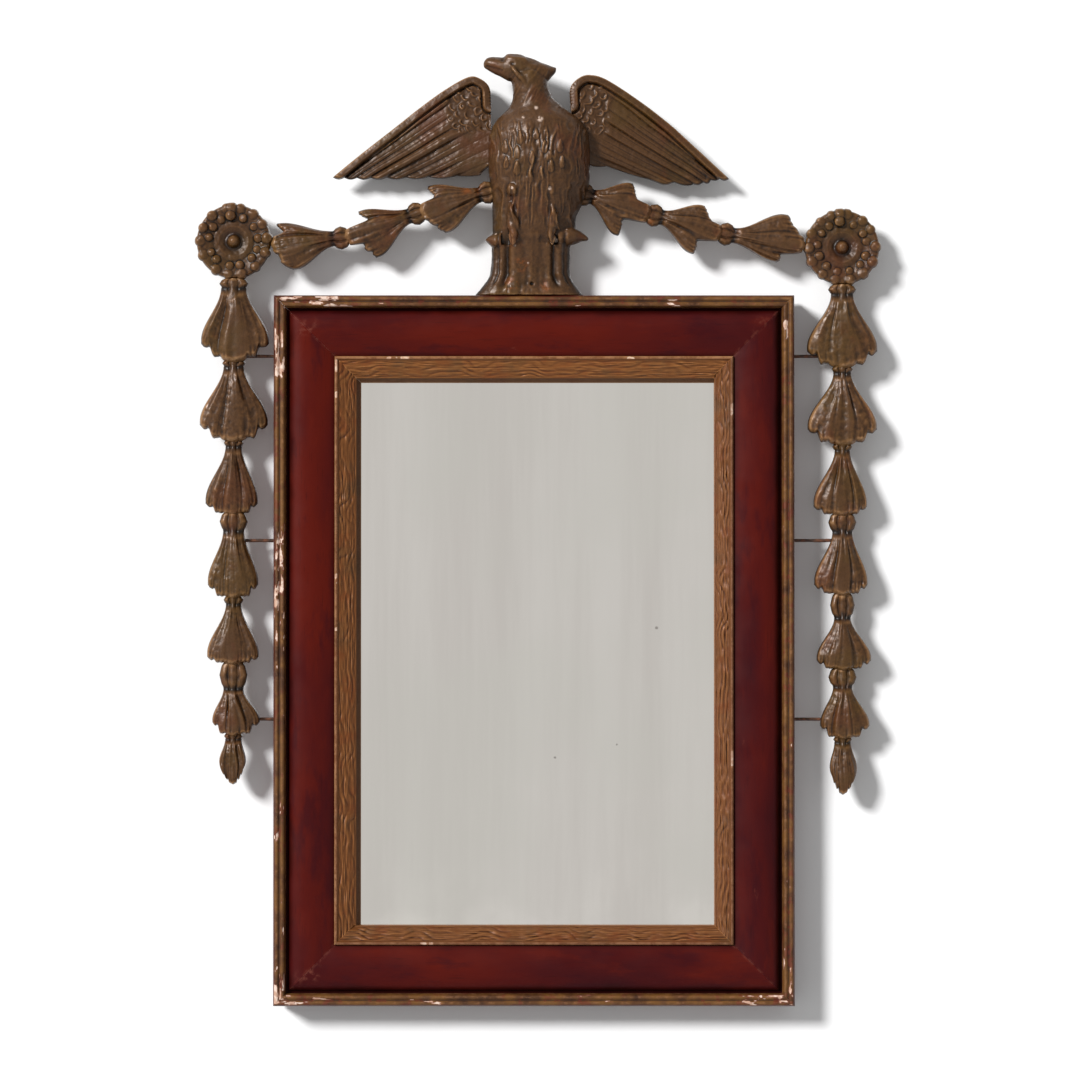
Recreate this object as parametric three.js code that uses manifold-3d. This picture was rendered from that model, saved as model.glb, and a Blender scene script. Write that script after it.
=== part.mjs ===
// An eagle-crested wall mirror with husk garlands, in millimetres, +Z up.
// The mirror faces -Y. The wall is the plane y = 0, and the origin is the middle of the frame's back.
import * as THREE from "three";
import { mergeVertices } from "three/addons/utils/BufferGeometryUtils.js";
import Module from "manifold-3d";

const wasm = await Module();
wasm.setup();

// ---- clearances ----
const JOINT_GAP = 0.3; // between two pieces that touch
const PANEL_PLAY = 0.8; // round the glass and the backboards in the rebate
const SWAG_PLAY = 1.6; // between the swag husks, which meet at an angle

// ---- frame ----
const FRAME_WIDTH = 443;
const FRAME_HEIGHT = 604;
const MOULDING_WIDTH = 70; // outer side to the slip's inner edge
const BEAD_WIDTH = 10.6;
const BEAD_HEIGHT = 9; // above its seat
const SLIP_WIDTH = 18; // carved inner slip
const SLIP_LAP = 6; // how far the slip sits on the rail
const SLIP_LIP = 7; // outer lip of the slip above its seat
const SIGHT_HEIGHT = 5; // thickness of the slip at its inner edge
const SIGHT_CHAMFER = 4; // slope from there down to the glass
const SEAT_DEPTH = 19; // wall to the seats of the bead and the slip
const CUSHION_RISE = 8.3; // crown of the red moulding above those seats
const GLASS_THICKNESS = 3;
const BACKBOARD_THICKNESS = 8;
const BACKBOARD_JOINT_HEIGHT = 85; // seam between the two backboards, above the middle

// ---- crest ----
const CREST_BACK = 7; // wall to the flat backs of the eagle's pieces
const WING_ROOT_DEPTH = 13;
const WING_TIP_DEPTH = 6;
const WING_FEATHERS = 7;
const BATTEN_WIDTH = 34;
const BATTEN_THICKNESS = 6;
const BATTEN_LAP = 50; // let into the top rail
const BATTEN_RISE = 112; // above the top rail
const BATTEN_SCREW_INSET = 20; // upper screw below the batten's end
const NAIL_HOLE_RADIUS = 1.4;

// ---- garlands ----
const WIRE_RADIUS = 1.2;
const WIRE_DEPTH = 10; // wall to the middle of the garland wires
const STAY_RADIUS = 1.4;
const STAY_EMBED = 9; // length of a stay inside the stile
const STAY_OVERRUN = 4; // length of a stay past the drop wire
const STAY_DROPS = [51, 208.5, 361]; // below the top of the frame
const ROSETTE_RADIUS = 30.5; // dish, without the beads
const DISH_RISE = 11;
const ROSETTE_BEADS = 14;
const BEAD_RADIUS = 4.4;
const BEAD_INSET = 0.6; // middle of a bead inside the dish's edge
const BEAD_LIFT = 0.8; // bead above the flat back
const DROP_START = 36.2; // rosette's middle to the first husk
const HUSK_EDGE = 3; // thickness of a husk at its rim
const HUSK_CROWN = 10.5; // thickness along its middle

// ---- strap hangers ----
const STRAP_WIDTH = 12;
const STRAP_THICKNESS = 1.2;
const STRAP_LENGTH = 32;
const RING_WIRE_RADIUS = 1.2;
const RING_HALF_WIDTH = 9.5;
const RING_LENGTH = 16;
const RING_CORNER = 1.1; // end of the straight bar to the ring's side
const HANGER_HEIGHT = 150; // pivot above the middle of the frame
const HANGER_SCREW_DROP = 24.5; // pivot to the screw
const SCREW_RADIUS = 1.5;
const SCREW_HEAD_RADIUS = 3.2;
const SCREW_HEAD_HEIGHT = 1.8;
const SCREW_SLOT_WIDTH = 0.8;
const SCREW_SLOT_DEPTH = 0.8;
const SCREW_LENGTH = 12;

// ---- worked out ----
const frameTop = FRAME_HEIGHT / 2;
const frameSide = FRAME_WIDTH / 2;
const railInner = MOULDING_WIDTH - SLIP_WIDTH + SLIP_LAP; // rebate, from the outer side
const slipOuter = MOULDING_WIDTH - SLIP_WIDTH;
const glassBack = BACKBOARD_THICKNESS + JOINT_GAP;
const slipBack = glassBack + GLASS_THICKNESS + JOINT_GAP;
const huskBack = WIRE_DEPTH + WIRE_RADIUS + JOINT_GAP;
const stayDepth = WIRE_DEPTH - WIRE_RADIUS - JOINT_GAP - STAY_RADIUS;
const crestBase = frameTop + JOINT_GAP;

// ---- materials ----
function material(color, roughness, metalness = 0) {
  return new THREE.MeshStandardMaterial({ color, roughness, metalness });
}
const redWood = material(0x5c1f1b, 0.35);
const wornGilt = material(0x6b4c33, 0.55, 0.3);
const slipGilt = material(0x83552f, 0.45, 0.4);
const silvered = material(0xc2c1bd, 0.05, 1);
const pine = material(0xa98a5e, 0.8);
const iron = material(0x3d3733, 0.6, 0.8);
const brass = material(0x9c7b3c, 0.35, 1);

// ---- geometry helpers ----

// A closed mesh from points and triangles, turned to face outwards.
function closedMesh(points, triangles) {
  let volume = 0;
  for (const [a, b, c] of triangles) {
    volume += points[a].dot(points[b].clone().cross(points[c]));
  }
  const index = triangles.flatMap(([a, b, c]) => (volume < 0 ? [a, c, b] : [a, b, c]));
  return new THREE.BufferGeometry().setFromPoints(points).setIndex(index);
}

// Skins rings of equal length, one after another, and caps both ends, or joins the last to the first.
function loft(rings, closed = false) {
  const points = rings.flat();
  const sides = rings[0].length;
  const triangles = [];
  const spans = closed ? rings.length : rings.length - 1;
  for (let row = 0; row < spans; row++) {
    const next = (row + 1) % rings.length;
    for (let i = 0; i < sides; i++) {
      const j = (i + 1) % sides;
      const [a, b] = [row * sides + i, row * sides + j];
      const [c, d] = [next * sides + i, next * sides + j];
      triangles.push([a, b, c], [b, d, c]);
    }
  }
  if (!closed) {
    const end = (rings.length - 1) * sides;
    for (let i = 1; i < sides - 1; i++) {
      triangles.push([0, i + 1, i], [end, end + i, end + i + 1]);
    }
  }
  return closedMesh(points, triangles);
}

// A carved relief with a flat back: point(row, column) gives x, z and the height towards the viewer.
function relief(rows, columns, point) {
  const points = [];
  for (let row = 0; row <= rows; row++) {
    for (let column = 0; column <= columns; column++) {
      const { x, z, height } = point(row / rows, column / columns);
      points.push(new THREE.Vector3(x, -height, z));
    }
  }
  const at = (row, column) => row * (columns + 1) + column;
  const triangles = [];
  for (let row = 0; row < rows; row++) {
    for (let column = 0; column < columns; column++) {
      const corner = at(row, column);
      const below = at(row + 1, column);
      triangles.push([corner, corner + 1, below], [corner + 1, below + 1, below]);
    }
  }
  const rim = [];
  for (let column = 0; column < columns; column++) rim.push(at(0, column));
  for (let row = 0; row < rows; row++) rim.push(at(row, columns));
  for (let column = columns; column > 0; column--) rim.push(at(rows, column));
  for (let row = rows; row > 0; row--) rim.push(at(row, 0));
  const firstBack = points.length;
  for (const i of rim) points.push(new THREE.Vector3(points[i].x, 0, points[i].z));
  rim.forEach((front, i) => {
    const next = (i + 1) % rim.length;
    triangles.push([front, firstBack + i, rim[next]]);
    triangles.push([rim[next], firstBack + i, firstBack + next]);
  });
  const outline = rim.map((i) => new THREE.Vector2(points[i].x, points[i].z));
  const turned = THREE.ShapeUtils.isClockWise(outline);
  const facing = turned ? outline.slice().reverse() : outline;
  for (const [a, b, c] of THREE.ShapeUtils.triangulateShape(facing, [])) {
    const back = turned ? [a, b, c].map((i) => rim.length - 1 - i) : [c, b, a];
    triangles.push(back.map((i) => firstBack + i));
  }
  return closedMesh(points, orient(triangles));
}

// Turns each triangle so that it runs against its neighbours along their shared sides.
function orient(triangles) {
  const sides = new Map();
  triangles.forEach((triangle, t) => {
    triangle.forEach((a, i) => {
      const b = triangle[(i + 1) % 3];
      const key = Math.min(a, b) + "_" + Math.max(a, b);
      sides.set(key, [...(sides.get(key) ?? []), t]);
    });
  });
  const made = triangles.map((triangle) => triangle.slice());
  const seen = new Set([0]);
  const queue = [0];
  while (queue.length) {
    const t = queue.pop();
    made[t].forEach((a, i) => {
      const b = made[t][(i + 1) % 3];
      for (const other of sides.get(Math.min(a, b) + "_" + Math.max(a, b))) {
        if (seen.has(other)) continue;
        seen.add(other);
        const [p, q, r] = made[other];
        const sameWay = (p === a && q === b) || (q === a && r === b) || (r === a && p === b);
        if (sameWay) made[other] = [p, r, q];
        queue.push(other);
      }
    });
  }
  return made;
}

// A straight round bar between two points.
function rod(from, to, radius, sides = 8) {
  const along = to.clone().sub(from);
  const bar = new THREE.CylinderGeometry(radius, radius, along.length(), sides);
  const upright = new THREE.Vector3(0, 1, 0);
  const turn = new THREE.Quaternion().setFromUnitVectors(upright, along.clone().normalize());
  const middle = from.clone().add(to).multiplyScalar(0.5);
  return bar.applyQuaternion(turn).translate(middle.x, middle.y, middle.z);
}

// A round wire along a curve.
function wire(curve, radius, steps) {
  const section = new THREE.Shape();
  section.absarc(0, 0, radius, 0, 2 * Math.PI);
  return new THREE.ExtrudeGeometry(section, { extrudePath: curve, steps, curveSegments: 4 });
}

function box(x0, x1, y0, y1, z0, z1) {
  const block = new THREE.BoxGeometry(x1 - x0, y1 - y0, z1 - z0);
  return block.translate((x0 + x1) / 2, (y0 + y1) / 2, (z0 + z1) / 2);
}

function toSolid(geometry) {
  const bare = geometry.clone();
  bare.deleteAttribute("normal");
  bare.deleteAttribute("uv");
  const merged = mergeVertices(bare, 1e-4);
  const vertProperties = new Float32Array(merged.attributes.position.array);
  const triVerts = new Uint32Array(merged.index.array);
  return new wasm.Manifold(new wasm.Mesh({ numProp: 3, vertProperties, triVerts }));
}

function fromSolid(solid) {
  const { vertProperties, triVerts } = solid.getMesh();
  const made = new THREE.BufferGeometry();
  made.setAttribute("position", new THREE.BufferAttribute(vertProperties, 3));
  return made.setIndex(new THREE.BufferAttribute(triVerts, 1));
}

function join(...geometries) {
  return fromSolid(geometries.map(toSolid).reduce((whole, piece) => whole.add(piece)));
}

function cut(geometry, ...tools) {
  return fromSolid(tools.map(toSolid).reduce((rest, tool) => rest.subtract(tool), toSolid(geometry)));
}

const mirror = new THREE.Group();

function add(name, geometry, finish, parent = mirror) {
  const mesh = new THREE.Mesh(geometry, finish);
  mesh.name = name;
  parent.add(mesh);
  return mesh;
}

// ---- frame mouldings ----

// Profiles run in u, inwards from the outer side, and w, out from the wall.
const beadSeat = SEAT_DEPTH + JOINT_GAP;
const quirk = BEAD_WIDTH + JOINT_GAP;
const cushionWidth = slipOuter - JOINT_GAP - quirk;

function railProfile() {
  const crown = [
    [0.04, 0.0], [0.08, 0.42], [0.17, 0.73], [0.31, 0.94], [0.47, 1.0],
    [0.62, 0.95], [0.78, 0.8], [0.92, 0.6], [1.0, 0.46],
  ];
  return [
    [0, 0],
    [0, SEAT_DEPTH],
    ...crown.map(([along, rise]) => [quirk + along * cushionWidth, SEAT_DEPTH + rise * CUSHION_RISE]),
    [slipOuter - JOINT_GAP, SEAT_DEPTH],
    [railInner, SEAT_DEPTH],
    [railInner, 0],
  ];
}

function beadProfile() {
  const rounds = [
    [0, 0.45], [0.06, 0.8], [0.18, 0.97], [0.3, 1.0], [0.42, 0.93], [0.52, 0.74],
    [0.6, 0.74], [0.7, 0.9], [0.82, 0.92], [0.94, 0.76], [1, 0.5],
  ];
  return [
    [0, beadSeat],
    ...rounds.map(([along, rise]) => [along * BEAD_WIDTH, beadSeat + rise * BEAD_HEIGHT]),
    [BEAD_WIDTH, beadSeat],
  ];
}

// A rounded lip, a carved slope and a chamfer down to the glass.
function slipProfile() {
  const lipTop = beadSeat + SLIP_LIP;
  const sightTop = slipBack + SIGHT_HEIGHT;
  const tongue = railInner + JOINT_GAP;
  return [
    [slipOuter, beadSeat],
    [slipOuter, lipTop - 1.2],
    [slipOuter + 1.3, lipTop],
    [slipOuter + 3.4, lipTop - 0.4],
    [slipOuter + 5, lipTop - 2.3],
    [slipOuter + 11, (lipTop - 2.3 + sightTop) / 2 + 0.6],
    [MOULDING_WIDTH - 1, sightTop],
    [MOULDING_WIDTH, sightTop - 0.6],
    [MOULDING_WIDTH + SIGHT_CHAMFER, slipBack + 0.5],
    [MOULDING_WIDTH + SIGHT_CHAMFER, slipBack],
    [tongue, slipBack],
    [tongue, beadSeat],
  ];
}

// One mitred length along the top: the outer side lies at z = edge, and both ends are cut at 45 degrees.
function mitredLength(profile, halfLength, edge) {
  const endGap = (JOINT_GAP / 2) * Math.SQRT2;
  const ring = (side) =>
    profile.map(([u, w]) => new THREE.Vector3(side * (halfLength - u - endGap), -w, edge - u));
  const [left, right] = [ring(-1), ring(1)];
  const count = profile.length;
  const triangles = [];
  for (let i = 0; i < count; i++) {
    const j = (i + 1) % count;
    triangles.push([i, j, count + i], [j, count + j, count + i]);
  }
  const outline = profile.map(([u, w]) => new THREE.Vector2(u, w));
  for (const [a, b, c] of THREE.ShapeUtils.triangulateShape(outline, [])) {
    triangles.push([a, b, c], [count + a, count + b, count + c]);
  }
  return closedMesh([...left, ...right], orient(triangles));
}

const sides = [
  { place: "top", member: "top_rail", turn: 0, half: frameSide, edge: frameTop },
  { place: "right", member: "right_stile", turn: Math.PI / 2, half: frameTop, edge: frameSide },
  { place: "bottom", member: "bottom_rail", turn: Math.PI, half: frameSide, edge: frameTop },
  { place: "left", member: "left_stile", turn: -Math.PI / 2, half: frameTop, edge: frameSide },
];

const hangerX = frameSide - MOULDING_WIDTH / 2;
const screwZ = HANGER_HEIGHT - HANGER_SCREW_DROP;
const crestBatten = box(
  -BATTEN_WIDTH / 2, BATTEN_WIDTH / 2,
  -BATTEN_THICKNESS - JOINT_GAP, -JOINT_GAP,
  frameTop - BATTEN_LAP, crestBase + BATTEN_RISE,
);
const battenScrewZ = [frameTop - BATTEN_LAP / 2, crestBase + BATTEN_RISE - BATTEN_SCREW_INSET];

// Holes in the members: stays and hanger screws in the stiles, the batten and its screw in the top rail.
function memberHoles(place) {
  if (place === "top") {
    const recess = box(
      -BATTEN_WIDTH / 2 - JOINT_GAP, BATTEN_WIDTH / 2 + JOINT_GAP,
      -BATTEN_THICKNESS - 2 * JOINT_GAP, 1,
      frameTop - BATTEN_LAP - JOINT_GAP, frameTop + 1,
    );
    return [recess, screwHole(0, battenScrewZ[0])];
  }
  if (place === "bottom") return [];
  const way = place === "left" ? -1 : 1;
  const holes = STAY_DROPS.map((drop) =>
    rod(
      new THREE.Vector3(way * (frameSide + 1), -stayDepth, frameTop - drop),
      new THREE.Vector3(way * (frameSide - STAY_EMBED - JOINT_GAP), -stayDepth, frameTop - drop),
      STAY_RADIUS + JOINT_GAP,
    ),
  );
  return [...holes, screwHole(way * hangerX, screwZ)];
}

function screwHole(x, z) {
  return rod(
    new THREE.Vector3(x, 1, z),
    new THREE.Vector3(x, -SCREW_LENGTH - JOINT_GAP, z),
    SCREW_RADIUS + JOINT_GAP,
  );
}

for (const { place, member, turn, half, edge } of sides) {
  const turned = (profile) => mitredLength(profile, half, edge).rotateY(turn);
  add(member, holed(turned(railProfile()), memberHoles(place)), redWood);
  add("outer_bead_" + place, turned(beadProfile()), wornGilt);
  add("inner_slip_" + place, turned(slipProfile()), slipGilt);
}

function holed(geometry, tools) {
  return tools.length ? cut(geometry, ...tools) : geometry;
}

// ---- glass and backboards ----
const panelHalfWidth = frameSide - railInner - PANEL_PLAY;
const panelHalfHeight = frameTop - railInner - PANEL_PLAY;
add(
  "mirror_glass",
  box(
    -panelHalfWidth, panelHalfWidth, -glassBack - GLASS_THICKNESS, -glassBack,
    -panelHalfHeight, panelHalfHeight,
  ),
  silvered,
);
add(
  "upper_backboard",
  box(
    -panelHalfWidth, panelHalfWidth, -BACKBOARD_THICKNESS, 0,
    BACKBOARD_JOINT_HEIGHT + JOINT_GAP / 2, panelHalfHeight,
  ),
  pine,
);
add(
  "lower_backboard",
  box(
    -panelHalfWidth, panelHalfWidth, -BACKBOARD_THICKNESS, 0,
    -panelHalfHeight, BACKBOARD_JOINT_HEIGHT - JOINT_GAP / 2,
  ),
  pine,
);

// ---- crest ----

// An oval ring at a height, with its front a given distance in front of the crest's flat back.
function ovalRing(middle, height, halfWidth, front, halfDepth, points, square) {
  const ring = [];
  for (let i = 0; i < points; i++) {
    const angle = (2 * Math.PI * (i + 0.5)) / points;
    const [c, s] = [Math.cos(angle), Math.sin(angle)];
    const x = middle + halfWidth * Math.sign(c) * Math.abs(c) ** (2 / square);
    const y = halfDepth * Math.sign(s) * Math.abs(s) ** (2 / square);
    ring.push(new THREE.Vector3(x, y - CREST_BACK - front + halfDepth, height));
  }
  return ring;
}

// Everything behind the crest's flat back.
const behindCrest = box(-FRAME_WIDTH, FRAME_WIDTH, -CREST_BACK, FRAME_WIDTH, -FRAME_HEIGHT, FRAME_HEIGHT);

// Heights above the crest's base, middle, half width, front depth and half depth.
const PLINTH_SECTIONS = [
  [0, -2.2, 49.8, 20.7, 17], [3.8, -3.2, 45.9, 20.7, 17], [8.9, -3.4, 41.6, 20.5, 17],
  [14, -3, 37.9, 20, 17], [19, -3, 35.2, 20, 17], [29, -2.5, 34, 21, 18], [43, -2.5, 34, 24, 20],
];
const BODY_SECTIONS = [
  [43.3, -2.5, 34, 25, 20], [54, 0, 35.7, 28, 21], [67, 0.2, 36, 31, 23], [80, 3, 38.7, 35, 26],
  [93, 4.7, 42, 39, 29], [110, 4.3, 43.4, 43, 31], [127, 4.3, 43.4, 43, 31], [140, 4, 41.6, 40, 29],
  [150, 3.8, 35.3, 36, 26], [157, 3, 26.8, 32, 22], [162, 1.3, 21.7, 30, 19], [169, -0.9, 17, 29, 16],
  [177.5, -3, 15.7, 29, 14.5], [185, -4, 15, 28.5, 13.5], [190, -4, 12, 27, 11],
];
// From the beak's tip to the crest at the back of the head: x, height, half height and half depth.
const HEAD_SECTIONS = [
  [-42.1, 195.6, 2.4, 2], [-37.4, 196.6, 6.3, 4], [-28.9, 194.5, 8.4, 7], [-20.4, 194, 11.7, 9.5],
  [-11.9, 192.5, 11.9, 11], [0.9, 189.5, 10.6, 11], [9.4, 190.8, 7.1, 9], [15.3, 193.4, 3.9, 5.5],
  [18.7, 193.8, 1.3, 2],
];
const HEAD_DEPTH = 21; // wall to the middle of the head
// Leaves that leave the trunk sideways: x, height and radius at each step.
const SIDE_LEAF = [[22, 52, 5], [33, 50.5, 4.4], [40, 48.2, 3], [44.5, 47.3, 1.8], [46.8, 48, 0.6]];
const SIDE_NUB = [[-30, 50, 5], [-38, 48.6, 3.2], [-42, 47, 1]];
const LEAF_DEPTH = 20; // wall to the middle of those leaves
const LEAF_FULLNESS = 1.4; // their depth as a share of their height
const LEGS = [-18.7, 12.8]; // x of each leg
const THIGH = { size: [6.5, 7, 9], depth: 38, height: 88 };
const SHANK = { size: [4.6, 6, 27], depth: 33.5, height: 66 };
const NAIL_HOLE = { x: -1, height: 9.8, from: 40, to: 22 };

function headRing([x, height, halfHeight, halfDepth]) {
  const ring = [];
  for (let i = 0; i < 10; i++) {
    const angle = (2 * Math.PI * i) / 10;
    const y = -HEAD_DEPTH + halfDepth * Math.cos(angle);
    ring.push(new THREE.Vector3(x, y, height + halfHeight * Math.sin(angle)));
  }
  return ring;
}

function spur(steps) {
  return loft(
    steps.map(([x, height, radius]) => {
      const ring = [];
      for (let i = 0; i < 6; i++) {
        const angle = (2 * Math.PI * i) / 6;
        const y = -LEAF_DEPTH + LEAF_FULLNESS * radius * Math.cos(angle);
        ring.push(new THREE.Vector3(x, y, height + radius * Math.sin(angle)));
      }
      return ring;
    }),
  );
}

function leg(x) {
  const lumps = [THIGH, SHANK].map(({ size, depth, height }) =>
    new THREE.SphereGeometry(1, 8, 6).scale(...size).translate(x, -depth, height),
  );
  return join(...lumps);
}

function eagleBody() {
  const trunk = loft(BODY_SECTIONS.map(([h, x, w, f, d]) => ovalRing(x, h, w, f, d, 16, 2)));
  const head = loft(HEAD_SECTIONS.map(headRing));
  return cut(join(trunk, head, ...LEGS.map(leg), spur(SIDE_LEAF), spur(SIDE_NUB)), behindCrest);
}

function eaglePlinth() {
  const trunk = loft(PLINTH_SECTIONS.map(([h, x, w, f, d]) => ovalRing(x, h, w, f, d, 16, 3)));
  const { x, height, from, to } = NAIL_HOLE;
  const [near, far] = [from, to].map((depth) => new THREE.Vector3(x, -depth, height));
  const hole = rod(near, far, NAIL_HOLE_RADIUS, 6);
  return cut(trunk, behindCrest, hole);
}

// The leading edge runs from the inner end over the shoulder to the tip: x and height.
// The lee line is the short inner feather that the other feathers fan from.
const WINGS = [
  {
    side: "left",
    leading: [
      [-36.6, 163], [-38, 178], [-45.9, 185.7], [-56, 187.2], [-74.8, 177.2], [-96.9, 161.5],
      [-122.4, 141.5], [-147.9, 122], [-170, 103.8],
    ],
    lee: [[-37, 112], [-46, 105.5]],
    sag: 2,
    tenon: [-40, -28],
  },
  {
    side: "right",
    leading: [
      [31, 163], [31, 178], [39, 186.8], [48.5, 189], [62.9, 184.6], [90, 167],
      [115.6, 147.5], [138.6, 126.2], [162.4, 100],
    ],
    lee: [[38, 115], [51, 111.5]],
    sag: 8,
    tenon: [28, 44],
  },
];
const WING_TENON = [120, 146]; // heights of the tongue that is let into the body
const TENON_SHOULDER = 3; // tongue behind the wing's face
const HOUSING_REACH = 80; // a wing's housing runs out past the body's side
const HOUSING_DROP = 8; // and below the wing's tip

function wing({ leading, lee, sag, tenon }) {
  const toPoint = ([x, z]) => new THREE.Vector3(x, 0, z);
  const edge = new THREE.CatmullRomCurve3(leading.map(toPoint), false, "centripetal");
  const [leeStart, leeEnd] = lee.map(toPoint);
  const blade = relief(10, 3 * WING_FEATHERS, (along, across) => {
    const base = edge.getPointAt(along).lerp(leeStart.clone().lerp(leeEnd, along), across);
    const feather = Math.abs(Math.sin(Math.PI * WING_FEATHERS * across));
    const end = along ** 6;
    base.z -= end * (sag * Math.sin(Math.PI * across) + 3 * feather * (across > 0.02 ? 1 : 0));
    const body = THREE.MathUtils.lerp(WING_ROOT_DEPTH - 3.5, WING_TIP_DEPTH - 2.5, along);
    const rim = 3.5 * Math.exp(-((across / 0.07) ** 2));
    return { x: base.x, z: base.z, height: body + rim + 1.6 * feather * (1 - rim / 3.5) };
  });
  const tongueFront = TENON_SHOULDER - WING_ROOT_DEPTH;
  const tongue = box(tenon[0], tenon[1], tongueFront, 0, WING_TENON[0], WING_TENON[1]);
  return join(blade, tongue).translate(0, -CREST_BACK, 0);
}

// The room behind the chest for a wing's inner end and its tongue.
function wingHousings({ leading, tenon }) {
  const innerEnd = leading.slice(0, 2).map(([x]) => x);
  const way = Math.sign(innerEnd[0]);
  const near = way * (Math.min(...innerEnd.map(Math.abs)) - JOINT_GAP);
  const far = way * HOUSING_REACH;
  const [tongueNear, tongueFar] = [tenon[0] - JOINT_GAP, tenon[1] + JOINT_GAP];
  const front = -CREST_BACK - WING_ROOT_DEPTH - JOINT_GAP;
  const low = leading[leading.length - 1][1] - HOUSING_DROP;
  const high = Math.max(...leading.map(([, z]) => z)) + JOINT_GAP;
  return [
    box(Math.min(near, far), Math.max(near, far), front, 1, low, high),
    box(
      tongueNear, tongueFar, front + TENON_SHOULDER, 1,
      WING_TENON[0] - JOINT_GAP, WING_TENON[1] + JOINT_GAP,
    ),
  ];
}

// ---- garlands ----

// Where each swag's husks begin and end, and how each drop's husks run, from the rosette down.
// A stop is x as a share of the way from the eagle to the rosette, and z above the top of the frame.
// minus and plus are a husk's half widths towards -x and +x, and tip says how far its side tips reach.
// A swag husk's two mouths are listed instead: share of the half width, and reach as a share of the length.
const GARLANDS = [
  {
    side: "left",
    way: -1,
    rosetteOut: 34.8,
    rosetteUp: 46.7,
    swagStart: [37.6, 89.5],
    swagMiddle: [[0.277, 71.4], [0.57, 50.1]],
    swagEnd: 44.8,
    swag: [
      {
        upper: 19.5, upperEnds: [[0.42, 0.76], [0.7, 0.79], [0.92, 0.82], [1, 0.79]],
        lower: 23.3, lowerEnds: [[0.54, 0.9], [0.74, 0.83], [0.9, 0.79], [1, 0.73]],
      },
      {
        upper: 17.5, upperEnds: [[0.44, 0.66], [0.7, 0.7], [0.9, 0.75], [1, 0.73]],
        lower: 25.2, lowerEnds: [[0.58, 0.8], [0.72, 0.74], [0.86, 0.72], [1, 0.69]],
      },
      {
        upper: 17.3, upperEnds: [[0.44, 0.93], [0.63, 0.82], [0.92, 0.88], [1, 0.86]],
        lower: 23.5, lowerEnds: [[0.53, 0.9], [0.72, 0.87], [0.87, 0.82], [1, 0.71]],
      },
    ],
    drop: [
      { length: 68, minus: 28, plus: 30, collar: 4, collarHalf: 12.5, neck: 11, tip: 0.76 },
      { length: 68, minus: 29, plus: 29, collar: 3, collarHalf: 10, neck: 8.8, tip: 0.78 },
      { length: 62, minus: 24, plus: 20.5, collar: 3, collarHalf: 8.5, neck: 7, tip: 0.84 },
      { length: 71.4, minus: 22, plus: 21, collar: 13, collarHalf: 12, neck: 9, tip: 0.83 },
      { length: 56, minus: 22.5, plus: 21.5, collar: 4, collarHalf: 8.5, neck: 6.5, tip: 0.88 },
      { length: 61, minus: 18, plus: 22.5, collar: 20, collarHalf: 12, neck: 8.5, tip: 0.8 },
      { length: 41, minus: 17, plus: 15, collar: 2, collarHalf: 8, neck: 7, tip: 0.66, bud: true },
    ],
  },
  {
    side: "right",
    way: 1,
    rosetteOut: 41.5,
    rosetteUp: 41.6,
    swagStart: [41, 87.6],
    swagMiddle: [[0.268, 69.7], [0.543, 53.5]],
    swagEnd: 42.5,
    swag: [
      {
        upper: 20.9, upperEnds: [[0.42, 0.77], [0.6, 0.71], [0.88, 0.67], [1, 0.62]],
        lower: 25.7, lowerEnds: [[0.44, 0.65], [0.7, 0.66], [0.95, 0.66], [1, 0.62]],
      },
      {
        upper: 19, upperEnds: [[0.42, 0.82], [0.64, 0.75], [0.9, 0.7], [1, 0.66]],
        lower: 23.5, lowerEnds: [[0.44, 0.7], [0.7, 0.7], [0.95, 0.69], [1, 0.65]],
      },
      {
        upper: 25, upperEnds: [[0.56, 0.88], [0.73, 0.78], [0.93, 0.74], [1, 0.66]],
        lower: 16.8, lowerEnds: [[0.46, 0.82], [0.54, 0.72], [0.92, 0.71], [1, 0.64]],
      },
    ],
    drop: [
      { length: 68, minus: 30, plus: 30, collar: 4, collarHalf: 12, neck: 9.5, tip: 0.78 },
      { length: 66.3, minus: 29.5, plus: 29.5, collar: 3, collarHalf: 9, neck: 7.5, tip: 0.78 },
      { length: 59.5, minus: 24.5, plus: 21, collar: 3, collarHalf: 8.5, neck: 6.5, tip: 0.86 },
      { length: 68, minus: 24, plus: 21.5, collar: 13, collarHalf: 12, neck: 8.5, tip: 0.86 },
      { length: 63.8, minus: 22, plus: 24.5, collar: 18, collarHalf: 10.5, neck: 7, tip: 0.86 },
      { length: 58.6, minus: 19, plus: 23, collar: 13, collarHalf: 12, neck: 8, tip: 0.8 },
      { length: 46.8, minus: 15.5, plus: 17.5, collar: 2, collarHalf: 8, neck: 7, tip: 0.66, bud: true },
    ],
  },
];
const SWAG_HUSK = { collar: 9, collarHalf: 10, neck: 6.5 };

// How far a drop husk's end reaches past its side tip, as a share of its length, from the middle out.
const HUSK_LOBES = [[0.48, 0.17], [0.66, 0.16], [0.75, 0.05], [0.9, 0.055], [1, 0]];
const BUD_LOBES = [[0.55, 0.24], [0.68, 0.21], [0.78, 0.17], [0.9, 0.1], [1, 0]];
const MIDDLE_LOBE = 0.34; // half width of the lobe that runs on to the next collar, as a share
const MIDDLE_REACH = 0.99;
const FLARE_END = 0.95; // where a husk has its full width, as a share of the way to its mouth

function lobedEnds(lobes, tip) {
  return lobes.map(([at, past]) => [at, Math.min(0.97, tip + past)]);
}

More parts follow.
